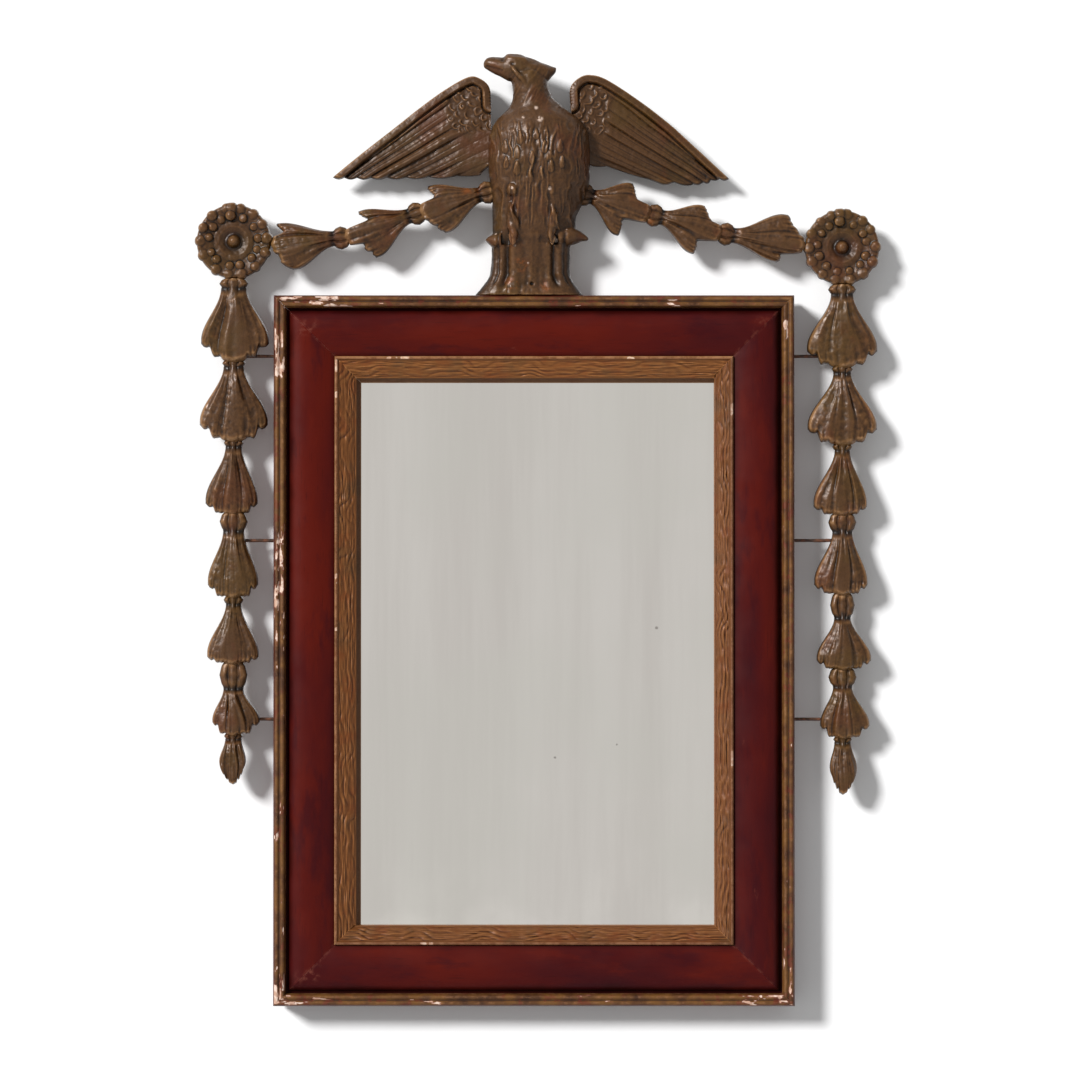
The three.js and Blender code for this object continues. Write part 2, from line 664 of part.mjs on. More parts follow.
// A husk hangs down -Z from the origin, with its flat back at y = 0 and its collar at the top.
function husk({ length, minus, plus, collar, collarHalf, neck, bud }, endsMinus, endsPlus, packing = 0) {
  const middle = [[-MIDDLE_LOBE, MIDDLE_REACH], [0, 1], [MIDDLE_LOBE, MIDDLE_REACH]];
  const columns = [...endsMinus.map(([at, reach]) => [-at, reach]).reverse(), ...middle, ...endsPlus];
  const collarRows = 2;
  const rows = collarRows + 5;
  return relief(rows, columns.length - 1, (rowShare, columnShare) => {
    const [across, reach] = columns[Math.round(columnShare * (columns.length - 1))];
    const row = Math.round(rowShare * rows);
    const widest = across < 0 ? minus : plus;
    if (row < collarRows) {
      const swell = row === 0 ? 0.75 : 1;
      const x = across * collarHalf * swell;
      return { x, z: (-collar * row) / collarRows, height: packing + huskHeight(across, 0.55 + 0.2 * row) };
    }
    const along = (row - collarRows) / (rows - collarRows);
    const spread = THREE.MathUtils.smoothstep(along, 0, FLARE_END);
    const pinch = bud ? 1 - 0.35 * along ** 3 : 1;
    const half = THREE.MathUtils.lerp(neck, widest, spread) * pinch;
    const z = -THREE.MathUtils.lerp(collar, length * reach, along);
    const vein = 0.5 + 0.5 * Math.cos(Math.abs(across) * 3 * 2 * Math.PI);
    const height = huskHeight(across, 0.62 + 0.38 * Math.sin(Math.PI * Math.min(1, along * 0.85)));
    return { x: across * half, z, height: packing + height + 1.4 * vein * along - 0.7 };
  });
}

// The room in the eagle's back for a husk's inner end, open to the back.
function huskHousing(shape, ends, leaf) {
  const depth = huskBack - CREST_BACK + 1;
  const grown = { ...shape };
  for (const size of ["minus", "plus", "collarHalf", "neck", "length"]) grown[size] += JOINT_GAP;
  const room = husk(grown, ...ends, depth + JOINT_GAP).translate(0, 0, 2 * JOINT_GAP);
  return room.rotateY(leaf.rotation.y).translate(leaf.position.x, 1 - CREST_BACK, leaf.position.z);
}

function huskHeight(across, fullness) {
  return HUSK_EDGE + (HUSK_CROWN - HUSK_EDGE) * fullness * Math.sqrt(1 - 0.92 * across ** 2);
}

// A beaded dish with a boss in a ring: the profile is radius and height, lathed about the viewing axis.
function rosette() {
  const dish = [
    [0, 0], [0.96, 0], [1, 0.28], [0.93, 0.62], [0.74, 0.5], [0.5, 0.36], [0.4, 0.46],
    [0.32, 0.34], [0.24, 0.62], [0.1, 0.84], [0, 0.88],
  ];
  const points = dish.map(([r, h]) => new THREE.Vector2(r * ROSETTE_RADIUS, h * DISH_RISE));
  const base = new THREE.LatheGeometry(points, 20).rotateX(Math.PI);
  const orbit = ROSETTE_RADIUS - BEAD_INSET;
  const beads = [];
  for (let i = 0; i < ROSETTE_BEADS; i++) {
    const angle = (2 * Math.PI * (i + 0.5)) / ROSETTE_BEADS;
    const bead = new THREE.SphereGeometry(BEAD_RADIUS, 6, 4);
    beads.push(bead.translate(orbit * Math.cos(angle), -BEAD_RADIUS - BEAD_LIFT, orbit * Math.sin(angle)));
  }
  return join(closedCopy(base), ...beads);
}

// The same surface with shared vertices, facing outwards.
function closedCopy(geometry) {
  const bare = geometry.clone();
  bare.deleteAttribute("normal");
  bare.deleteAttribute("uv");
  const merged = mergeVertices(bare, 1e-4);
  const position = merged.attributes.position;
  const points = [];
  for (let i = 0; i < position.count; i++) points.push(new THREE.Vector3().fromBufferAttribute(position, i));
  const triangles = [];
  for (let i = 0; i < merged.index.count; i += 3) {
    const [a, b, c] = [0, 1, 2].map((k) => merged.index.getX(i + k));
    if (a !== b && b !== c && c !== a) triangles.push([a, b, c]);
  }
  return closedMesh(points, triangles);
}

// What is let into the eagle's body from behind: the swag wires and the inner ends of their first husks.
const bodyGuests = [];

for (const garland of GARLANDS) {
  const { side, way, drop } = garland;
  const rosetteX = way * (frameSide + garland.rosetteOut);
  const rosetteZ = frameTop + garland.rosetteUp;
  const rosetteMesh = add("rosette_" + side, rosette(), wornGilt);
  rosetteMesh.position.set(rosetteX, -huskBack, rosetteZ);

  // Drop: husks end to end down the wire.
  const rosetteEdge = ROSETTE_RADIUS + BEAD_RADIUS + JOINT_GAP;
  const dropStart = rosetteZ - Math.max(DROP_START, rosetteEdge);
  let top = dropStart;
  drop.forEach((shape, i) => {
    const cutHusk = { ...shape, length: shape.length - JOINT_GAP };
    const ends = lobedEnds(shape.bud ? BUD_LOBES : HUSK_LOBES, shape.tip);
    const leaf = add("drop_husk_" + side + "_" + (i + 1), husk(cutHusk, ends, ends), wornGilt);
    leaf.position.set(rosetteX, -huskBack, top);
    top -= shape.length;
  });
  const wireTop = rosetteZ - 2 * WIRE_RADIUS - JOINT_GAP;
  const wireEnd = top + drop[drop.length - 1].length / 2;
  add(
    "drop_wire_" + side,
    rod(
      new THREE.Vector3(rosetteX, -WIRE_DEPTH, wireTop),
      new THREE.Vector3(rosetteX, -WIRE_DEPTH, wireEnd),
      WIRE_RADIUS,
    ),
    iron,
  );

  // Swag: three husks from the eagle outwards, on a wire that bends at their ends.
  const swagX = (share) => way * THREE.MathUtils.lerp(garland.swagStart[0], Math.abs(rosetteX), share);
  const lastX = rosetteX - way * (ROSETTE_RADIUS + BEAD_RADIUS + JOINT_GAP);
  const stops = [
    [way * garland.swagStart[0], garland.swagStart[1]],
    ...garland.swagMiddle.map(([share, up]) => [swagX(share), up]),
    [lastX, garland.swagEnd],
  ].map(([x, up]) => new THREE.Vector3(x, 0, frameTop + up));
  for (let i = 0; i < 3; i++) {
    const along = stops[i + 1].clone().sub(stops[i]);
    const { upper, upperEnds, lower, lowerEnds } = garland.swag[i];
    const [minus, plus] = way < 0 ? [upper, lower] : [lower, upper];
    const ends = way < 0 ? [upperEnds, lowerEnds] : [lowerEnds, upperEnds];
    const shape = { ...SWAG_HUSK, minus, plus, length: along.length() - SWAG_PLAY };
    const leaf = add("swag_husk_" + side + "_" + (i + 1), husk(shape, ...ends), wornGilt);
    leaf.position.set(stops[i].x, -huskBack, stops[i].z);
    leaf.rotation.y = Math.atan2(-along.x, -along.z);
    if (i === 0) bodyGuests.push(huskHousing(shape, ends, leaf));
  }
  const inner = new THREE.Vector3(way * (BATTEN_WIDTH / 2 + 4), 0, stops[0].z + 4);
  const outer = new THREE.Vector3(rosetteX - way * 2, 0, rosetteZ);
  const route = [inner, ...stops, outer].map((p) => new THREE.Vector3(p.x, -WIRE_DEPTH, p.z));
  const curve = new THREE.CatmullRomCurve3(route, false, "centripetal");
  const swagWire = wire(curve, WIRE_RADIUS, 18);
  add("swag_wire_" + side, swagWire, iron);
  bodyGuests.push(wire(curve, WIRE_RADIUS + JOINT_GAP, 18));

  // Stays: from the stile, behind the drop wire.
  STAY_DROPS.forEach((below, i) => {
    const z = frameTop - below;
    const from = new THREE.Vector3(way * (frameSide - STAY_EMBED), -stayDepth, z);
    const to = new THREE.Vector3(rosetteX + way * STAY_OVERRUN, -stayDepth, z);
    add("stay_" + side + "_" + (i + 1), rod(from, to, STAY_RADIUS), iron);
  });
}

// ---- crest assembly, raised to the top of the frame ----
const lift = crestBase;
for (const shape of WINGS) add("eagle_wing_" + shape.side, wing(shape).translate(0, 0, lift), wornGilt);
const bodySeats = [
  ...WINGS.flatMap(wingHousings).map((housing) => housing.translate(0, 0, lift)),
  ...bodyGuests,
  screwHole(0, battenScrewZ[1]),
];
add("eagle_body", cut(eagleBody().translate(0, 0, lift), ...bodySeats), wornGilt);
add("eagle_plinth", eaglePlinth().translate(0, 0, lift), wornGilt);
add("crest_batten", cut(crestBatten, ...battenScrewZ.map((z) => screwHole(0, z))), pine);

// ---- screws and hangers ----

// A round-headed screw along -Y, with its head's underside at y = seat.
function screw(x, seat, z, length) {
  const shank = rod(new THREE.Vector3(x, seat + 0.5, z), new THREE.Vector3(x, seat - length, z), SCREW_RADIUS);
  const head = rod(
    new THREE.Vector3(x, seat + SCREW_HEAD_HEIGHT, z), new THREE.Vector3(x, seat, z), SCREW_HEAD_RADIUS, 12,
  );
  const slotFloor = seat + SCREW_HEAD_HEIGHT - SCREW_SLOT_DEPTH;
  const slot = box(
    x - 2 * SCREW_HEAD_RADIUS, x + 2 * SCREW_HEAD_RADIUS, slotFloor, seat + 2 * SCREW_HEAD_HEIGHT,
    z - SCREW_SLOT_WIDTH / 2, z + SCREW_SLOT_WIDTH / 2,
  );
  return cut(join(shank, head), slot);
}

const battenScrewNames = ["crest_screw_lower", "crest_screw_upper"];
battenScrewZ.forEach((z, i) => add(battenScrewNames[i], screw(0, 0, z, SCREW_LENGTH - JOINT_GAP), iron));

const knuckleBore = RING_WIRE_RADIUS + JOINT_GAP;
const knuckleRadius = knuckleBore + STRAP_THICKNESS;
const pivotY = JOINT_GAP + knuckleRadius;

// The strap lies on the back of the stile and rolls into a knuckle round the ring's straight bar.
function hangerPlate(x) {
  const strapFace = JOINT_GAP + STRAP_THICKNESS;
  const joinAngle = Math.asin((pivotY - strapFace) / knuckleRadius);
  const outline = new THREE.Shape();
  outline.moveTo(JOINT_GAP, 0);
  outline.lineTo(JOINT_GAP, -STRAP_LENGTH);
  outline.lineTo(strapFace, -STRAP_LENGTH);
  outline.absarc(pivotY, 0, knuckleRadius, -Math.PI / 2 - joinAngle, Math.PI - 0.001, false);
  const bore = new THREE.Path().absarc(pivotY, 0, knuckleBore, 0, 2 * Math.PI, true);
  outline.holes.push(bore);
  const across = { depth: STRAP_WIDTH, bevelEnabled: false, curveSegments: 8 };
  const strap = new THREE.ExtrudeGeometry(outline, across);
  // The outline's axes are y and z, and the extrusion runs along x.
  const toWorld = new THREE.Matrix4().makeBasis(
    new THREE.Vector3(0, 1, 0), new THREE.Vector3(0, 0, 1), new THREE.Vector3(1, 0, 0),
  );
  strap.applyMatrix4(toWorld).translate(x - STRAP_WIDTH / 2, 0, HANGER_HEIGHT);
  return cut(strap, screwHole(x, screwZ).translate(0, 5, 0));
}

// A D of round wire that hangs down from its straight bar.
function hangerRing() {
  const path = [[-RING_HALF_WIDTH + RING_CORNER, 0], [RING_HALF_WIDTH - RING_CORNER, 0]];
  const bends = 16;
  for (let i = 0; i <= bends; i++) {
    const angle = (Math.PI * i) / bends;
    const drop = RING_CORNER + (RING_LENGTH - RING_CORNER) * Math.sin(angle);
    path.push([RING_HALF_WIDTH * Math.cos(angle), -drop]);
  }
  const rings = path.map(([x, z], i) => {
    const before = path[(i + path.length - 1) % path.length];
    const after = path[(i + 1) % path.length];
    const tangent = new THREE.Vector2(after[0] - before[0], after[1] - before[1]).normalize();
    const ring = [];
    for (let k = 0; k < 8; k++) {
      const angle = (2 * Math.PI * k) / 8;
      const out = RING_WIRE_RADIUS * Math.cos(angle);
      ring.push(new THREE.Vector3(x - out * tangent.y, RING_WIRE_RADIUS * Math.sin(angle), z + out * tangent.x));
    }
    return ring;
  });
  return loft(rings, true);
}

for (const { side, way } of GARLANDS) {
  const x = way * hangerX;
  add("hanger_plate_" + side, hangerPlate(x), brass);
  const ring = add("hanger_ring_" + side, hangerRing(), brass);
  ring.position.set(x, pivotY, HANGER_HEIGHT);
  const seat = 2 * JOINT_GAP + STRAP_THICKNESS;
  add("hanger_screw_" + side, screw(x, seat, screwZ, SCREW_LENGTH), iron);
}

export default mirror;
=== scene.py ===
"""An eagle-crested wall mirror with husk garlands: its surfaces and finishes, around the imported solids.

Lengths are in millimetres until a mesh is made. The mirror faces -Y, +Z is up, and the wall is at y = 0.
"""

import math
from itertools import product

import bpy
import numpy as np
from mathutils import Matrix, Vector


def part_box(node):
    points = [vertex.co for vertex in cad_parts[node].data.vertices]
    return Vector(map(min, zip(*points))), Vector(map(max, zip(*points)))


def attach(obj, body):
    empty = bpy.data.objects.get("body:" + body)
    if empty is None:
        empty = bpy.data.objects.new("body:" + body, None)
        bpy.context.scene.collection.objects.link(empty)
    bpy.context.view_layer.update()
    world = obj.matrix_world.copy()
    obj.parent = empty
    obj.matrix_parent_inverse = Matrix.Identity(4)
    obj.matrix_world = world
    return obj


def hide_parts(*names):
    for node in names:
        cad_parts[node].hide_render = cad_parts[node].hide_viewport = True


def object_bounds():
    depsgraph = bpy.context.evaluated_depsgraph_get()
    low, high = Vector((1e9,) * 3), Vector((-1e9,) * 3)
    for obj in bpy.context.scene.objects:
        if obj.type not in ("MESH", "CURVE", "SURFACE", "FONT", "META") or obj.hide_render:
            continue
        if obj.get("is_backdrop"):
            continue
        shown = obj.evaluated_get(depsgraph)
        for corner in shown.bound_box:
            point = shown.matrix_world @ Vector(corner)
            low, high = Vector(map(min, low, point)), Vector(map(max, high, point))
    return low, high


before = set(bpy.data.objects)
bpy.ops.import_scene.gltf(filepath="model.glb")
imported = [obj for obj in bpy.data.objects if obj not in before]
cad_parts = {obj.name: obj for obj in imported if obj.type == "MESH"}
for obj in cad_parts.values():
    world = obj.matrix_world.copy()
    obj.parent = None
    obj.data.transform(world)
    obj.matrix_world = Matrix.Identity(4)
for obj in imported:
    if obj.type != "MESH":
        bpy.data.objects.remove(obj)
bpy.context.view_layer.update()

MM = 0.001
BODY = "mirror"

# ---- the photograph's view ----
PHOTO_SIZE = 1080
PIXEL = 0.85  # size of a pixel of the photograph at the mirror's face
PHOTO_ORIGIN = (534, 650.25)  # pixel of the part's origin
FACE_DEPTH = 24  # wall to the mirror's face, where the pixel size holds
CAMERA_DISTANCE = 3200
CAMERA_TILT = 0.8  # degrees that the camera looks up
SENSOR = 36


def mm_box(node):
    low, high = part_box(node)
    return np.array(low) / MM, np.array(high) / MM


def add_object(name, data):
    made = bpy.data.objects.new(name, data)
    bpy.context.scene.collection.objects.link(made)
    return made


def make_camera():
    data = bpy.data.cameras.new("camera")
    data.sensor_width = SENSOR
    data.lens = SENSOR * CAMERA_DISTANCE / (PHOTO_SIZE * PIXEL)
    camera = add_object("camera", data)
    middle = PHOTO_SIZE / 2
    target = Vector(((middle - PHOTO_ORIGIN[0]) * PIXEL, -FACE_DEPTH, (PHOTO_ORIGIN[1] - middle) * PIXEL))
    tilt = math.radians(CAMERA_TILT)
    back = Vector((0, -math.cos(tilt), -math.sin(tilt)))
    camera.location = (target + back * CAMERA_DISTANCE) * MM
    camera.rotation_euler = (math.pi / 2 + tilt, 0, 0)
    bpy.context.scene.camera = camera


make_camera()

# ---- curves and fields ----


CURVE_STEPS = 24  # between two given points


def through(points, count):
    """A smooth curve through points of any dimension, sampled evenly along its length."""
    p = np.array(points, float)
    ends = [2 * p[0] - p[1], *p, 2 * p[-1] - p[-2]]
    samples = []
    for a, b, c, d in zip(ends, ends[1:], ends[2:], ends[3:]):
        for t in np.linspace(0, 1, CURVE_STEPS, endpoint=False):
            straight = 2 * b + (c - a) * t
            bent = (2 * a - 5 * b + 4 * c - d) * t**2
            samples.append(0.5 * (straight + bent + (3 * b - a - 3 * c + d) * t**3))
    samples = np.array([*samples, p[-1]])
    run = np.concatenate([[0], np.cumsum(np.linalg.norm(np.diff(samples, axis=0), axis=1))])
    at = np.linspace(0, run[-1], count)
    return np.stack([np.interp(at, run, samples[:, k]) for k in range(p.shape[1])], axis=-1)


def ease(low, high, value):
    """0 below low, 1 above high, smooth between."""
    t = np.clip((value - low) / (high - low), 0, 1)
    return t * t * (3 - 2 * t)


def bump(value, middle, width):
    return np.exp(-(((value - middle) / width) ** 2))


def lerp(a, b, share):
    return a + (b - a) * share


def noise(points, size, seed=0):
    """Smooth noise from -1 to 1 at points (..., 3), with features about size across."""
    p = np.asarray(points, float) / size
    cell = np.floor(p)
    f = p - cell
    f = f * f * (3 - 2 * f)
    total = np.zeros(p.shape[:-1])
    for corner in product((0, 1), repeat=3):
        key = cell + corner
        value = np.sin(key @ np.array([127.1, 311.7, 74.7]) + 17.3 * seed) * 43758.5453
        weight = np.prod(np.where(corner, f, 1 - f), axis=-1)
        total += weight * (2 * (value % 1) - 1)
    return total


def layered_noise(points, seed, *layers):
    """Layers of noise added up, each given by its strength and size."""
    return sum(strength * noise(points, size, seed + i) for i, (strength, size) in enumerate(layers))


def plane_points(x, z):
    return np.stack([x, np.zeros_like(x), z], axis=-1)


def circle(count):
    """Angles round a circle."""
    return 2 * math.pi * np.arange(count) / count


# ---- meshes ----


def signed_volume(points, faces):
    total = 0.0
    quads = np.array([f for f in faces if len(f) == 4])
    if len(quads):
        a, b, c, d = (points[quads[:, k]] for k in range(4))
        total += np.einsum("ij,ij->", a, np.cross(b, c)) + np.einsum("ij,ij->", a, np.cross(c, d))
    for f in faces:
        if len(f) != 4:
            ring = points[list(f)]
            total += np.einsum("ij,ij->", np.repeat(ring[:1], len(f) - 2, 0), np.cross(ring[1:-1], ring[2:]))
    return total


def outwards(points, faces):
    """The faces of a solid, turned to look out of it."""
    return faces if signed_volume(points, faces) > 0 else [f[::-1] for f in faces]


def new_object(name, vertices, faces):
    """A mesh object from millimetre vertices, with its faces turned outwards."""
    mesh = bpy.data.meshes.new(name)
    points = np.asarray(vertices, float)
    mesh.from_pydata((points * MM).tolist(), [], outwards(points, faces))
    mesh.update()
    return add_object(name, mesh)


def grid_faces(rows, columns, wrap=False):
    index = np.arange(rows * columns).reshape(rows, columns)
    if wrap:
        index = np.concatenate([index, index[:, :1]], axis=1)
    quads = np.stack([index[:-1, :-1], index[:-1, 1:], index[1:, 1:], index[1:, :-1]], axis=-1)
    return quads.reshape(-1, 4).tolist()


def relief(name, x, height, z, back):
    """A closed relief: a front grid that stands height before a flat back at y = -back."""
    rows, columns = x.shape
    front = np.stack([x, -back - height, z], axis=-1).reshape(-1, 3)
    index = np.arange(rows * columns).reshape(rows, columns)
    rim = np.concatenate([index[0, :-1], index[:-1, -1], index[-1, :0:-1], index[:0:-1, 0]])
    ring = front[rim].copy()
    ring[:, 1] = -back
    first, count = len(front), len(rim)
    faces = grid_faces(rows, columns)
    for i in range(count):
        j = (i + 1) % count
        faces.append([int(rim[j]), int(rim[i]), first + i, first + j])
    faces.append([first + i for i in range(count)][::-1])
    return new_object(name, np.concatenate([front, ring]), faces)


def loft(rings):
    """Vertices and faces of rings of equal length, skinned, with both ends capped."""
    rings = np.asarray(rings, float)
    rows, sides = rings.shape[:2]
    faces = grid_faces(rows, sides, wrap=True)
    faces.append([(rows - 1) * sides + j for j in range(sides)])
    faces.append(list(range(sides))[::-1])
    return rings.reshape(-1, 3), faces


def tube(name, path, radius, sides=14, wobble=0.0, seed=0, closed=False):
    """A round wire along path, a little uneven if wobble says so."""
    path = np.asarray(path, float)
    before = np.roll(path, 1, 0) if closed else np.concatenate([path[:1], path[:-1]])
    after = np.roll(path, -1, 0) if closed else np.concatenate([path[1:], path[-1:]])
    tangent = after - before
    tangent /= np.linalg.norm(tangent, axis=1, keepdims=True)
    across = np.cross(tangent, [0, 1, 0])
    across /= np.linalg.norm(across, axis=1, keepdims=True)
    other = np.cross(tangent, across)
    angle = np.linspace(0, 2 * math.pi, sides, endpoint=False)
    ring = across[:, None] * np.cos(angle)[:, None] + other[:, None] * np.sin(angle)[:, None]
    size = radius * (1 + wobble * noise(path[:, None] + 3 * radius * ring, 4 * radius, seed))
    points = path[:, None] + ring * size[..., None]
    if closed:
        faces = np.array(grid_faces(len(path) + 1, sides, wrap=True)) % (len(path) * sides)
        return new_object(name, points.reshape(-1, 3), faces.tolist())
    return new_object(name, *loft(points))


def fuse(name, solids, voxel):
    """One skin round overlapping solids."""
    vertices, faces, first = [], [], 0
    for points, polygons in solids:
        vertices.append(points)
        faces += [[first + i for i in f] for f in outwards(np.asarray(points, float), polygons)]
        first += len(points)
    draft = new_object(name + "_draft", np.concatenate(vertices), faces)
    remesh = draft.modifiers.new("skin", "REMESH")
    remesh.mode = "VOXEL"
    remesh.voxel_size = voxel * MM
    bpy.context.view_layer.update()
    depsgraph = bpy.context.evaluated_depsgraph_get()
    mesh = bpy.data.meshes.new_from_object(draft.evaluated_get(depsgraph))
    bpy.data.objects.remove(draft)
    mesh.name = name
    return add_object(name, mesh)


def read_vectors(mesh, key):
    values = np.zeros(len(mesh.vertices) * 3)
    mesh.vertices.foreach_get(key, values)
    return values.reshape(-1, 3)


def read_points(mesh):
    return read_vectors(mesh, "co") / MM


def read_normals(mesh):
    return read_vectors(mesh, "normal")


def write_points(mesh, points):
    mesh.vertices.foreach_set("co", (points * MM).ravel())
    mesh.update()


def soften(mesh, values, rounds):
    """Values on the vertices, averaged with their neighbours a number of times."""
    edges = np.zeros(len(mesh.edges) * 2, int)
    mesh.edges.foreach_get("vertices", edges)
    a, b = edges[::2], edges[1::2]
    count = len(mesh.vertices)
    degree = np.bincount(a, minlength=count) + np.bincount(b, minlength=count)
    degree = np.maximum(degree, 1)
    values = values.copy()
    for _ in range(rounds):
        summed = np.stack([
            np.bincount(a, values[b, k], count) + np.bincount(b, values[a, k], count)
            for k in range(values.shape[1])
        ], axis=-1)
        values = 0.5 * values + 0.5 * summed / degree[:, None]
    return values


def mark(mesh, name, values):
    attribute = mesh.attributes.new(name, "FLOAT", "POINT")
    attribute.data.foreach_set("value", np.asarray(values, np.float32))


def mark_ridges(mesh, rounds=10, scale=0.45):
    """An attribute from 0 in the grooves, over 0.5 on the flat, to 1 on the ridges."""
    points = read_points(mesh)
    above = points - soften(mesh, points, rounds)
    mark(mesh, "ridge", np.clip(0.5 + np.einsum("ij,ij->i", above, read_normals(mesh)) / (2 * scale), 0, 1))


def mark_depth(mesh, low, high):
    """An attribute from 0 at low to 1 at high, in mm from the wall."""
    front = -read_points(mesh)[:, 1]
    mark(mesh, "rise", np.clip((front - low) / (high - low), 0, 1))


def finish_piece(made, material, replaced=(), sharp=45, body=BODY, ridge_scale=0.45, ridge_rounds=10):
    """Smooth shading, ridges, material, and the body that the piece rides on."""
    mesh = made.data
    mesh.shade_smooth()
    mesh.set_sharp_from_angle(angle=math.radians(sharp))
    mark_ridges(mesh, ridge_rounds, ridge_scale)
    mesh.materials.clear()
    mesh.materials.append(material)
    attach(made, body)
    if replaced:
        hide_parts(*replaced)
    return made


# ---- materials ----


def srgb(red, green, blue):
    """Linear colour of an 8-bit screen colour."""
    shares = [c / 255 for c in (red, green, blue)]
    return (*(c / 12.92 if c <= 10 / 255 else ((c + 0.055) / 1.055) ** 2.4 for c in shares), 1)


class Nodes:
    """A node tree. Each call adds a node, and most give back its output."""

    def __init__(self, tree):
        self.tree = tree
        tree.nodes.clear()

    def feed(self, socket, value):
        if isinstance(value, bpy.types.NodeSocket):
            self.tree.links.new(value, socket)
        else:
            socket.default_value = value

    def node(self, kind, inputs, **settings):
        made = self.tree.nodes.new(kind)
        for key, value in settings.items():
            setattr(made, key, value)
        for key, value in inputs.items():
            self.feed(made.inputs[key], value)
        return made

    def math(self, operation, a, b=0.0):
        return self.node("ShaderNodeMath", {0: a, 1: b}, operation=operation).outputs[0]

    def by_ray(self, shares, otherwise=0.0):
        """The share of the kind of ray that meets this point, and at least what it is otherwise."""
        path = self.node("ShaderNodeLightPath", {})
        value = otherwise
        for ray, share in shares.items():
            value = self.math("MAXIMUM", self.math("MULTIPLY", path.outputs[ray], share), value)
        return value


class Finish(Nodes):
    """A node material."""

    def __init__(self, name):
        self.material = bpy.data.materials.new(name)
        self.material.use_nodes = True
        super().__init__(self.material.node_tree)
        self.out = self.tree.nodes.new("ShaderNodeOutputMaterial")
        self.place = self.tree.nodes.new("ShaderNodeTexCoord").outputs["Object"]

    def stretched(self, x, y, z):
        """The place in metres, scaled: a small factor draws the pattern out along that axis."""
        return self.node("ShaderNodeMapping", {"Vector": self.place, "Scale": (x, y, z)}).outputs["Vector"]

    def noise(self, scale, detail=4.0, rough=0.55, vector=None, distortion=0.0):
        inputs = {"Vector": vector or self.place, "Scale": scale, "Detail": detail, "Roughness": rough}
        inputs["Distortion"] = distortion
        return self.node("ShaderNodeTexNoise", inputs).outputs["Fac"]

    def attribute(self, name):
        return self.node("ShaderNodeAttribute", {}, attribute_name=name).outputs["Fac"]

    def ramp(self, value, stops):
        made = self.node("ShaderNodeValToRGB", {"Fac": value})
        elements = made.color_ramp.elements
        while len(elements) < len(stops):
            elements.new(0.5)
        for element, (position, colour) in zip(elements, stops):
            element.position = position
            element.color = colour if isinstance(colour, tuple) else (colour, colour, colour, 1)
        return made.outputs["Color"]

    def spread(self, value, low, high, to_low=0.0, to_high=1.0):
        inputs = {"Value": value, "From Min": low, "From Max": high, "To Min": to_low, "To Max": to_high}
        return self.node("ShaderNodeMapRange", inputs, interpolation_type="SMOOTHSTEP").outputs["Result"]

    def mix(self, share, a, b, blend="MIX"):
        made = self.tree.nodes.new("ShaderNodeMix")
        made.data_type = "RGBA"
        made.blend_type = blend
        for key, value in (("Factor", share), ("A", a), ("B", b)):
            self.feed(made.inputs[key], value)
        return made.outputs["Result"]

    def patches(self, low, high, *pattern, **named):
        """Soft-edged patches, where a noise lies above low and high."""
        return self.spread(self.noise(*pattern, **named), low, high)

    def tint(self, colour, share, strength, other):
        """A colour, changed to another by share times strength."""
        return self.mix(self.math("MULTIPLY", share, strength), colour, other)

    def times(self, colour, factor):
        """A colour, multiplied by another."""
        return self.mix(1.0, colour, factor, "MULTIPLY")

    def grey(self, value):
        """A value as a grey colour, at most white."""
        return self.ramp(value, [(0, 0.0), (1, 1.0)])

    def bump(self, height, distance, strength=1.0, below=None):
        inputs = {"Height": height, "Distance": distance, "Strength": strength}
        if below is not None:
            inputs["Normal"] = below
        return self.node("ShaderNodeBump", inputs).outputs["Normal"]

    def surface(self, colour, roughness, normal=None, **constants):
        shader = self.node("ShaderNodeBsdfPrincipled", {"Base Color": colour, "Roughness": roughness})
        for key, value in constants.items():
            self.feed(shader.inputs[key.replace("_", " ")], value)
        if normal is not None:
            self.feed(shader.inputs["Normal"], normal)
        self.tree.links.new(shader.outputs["BSDF"], self.out.inputs["Surface"])
        return self.material


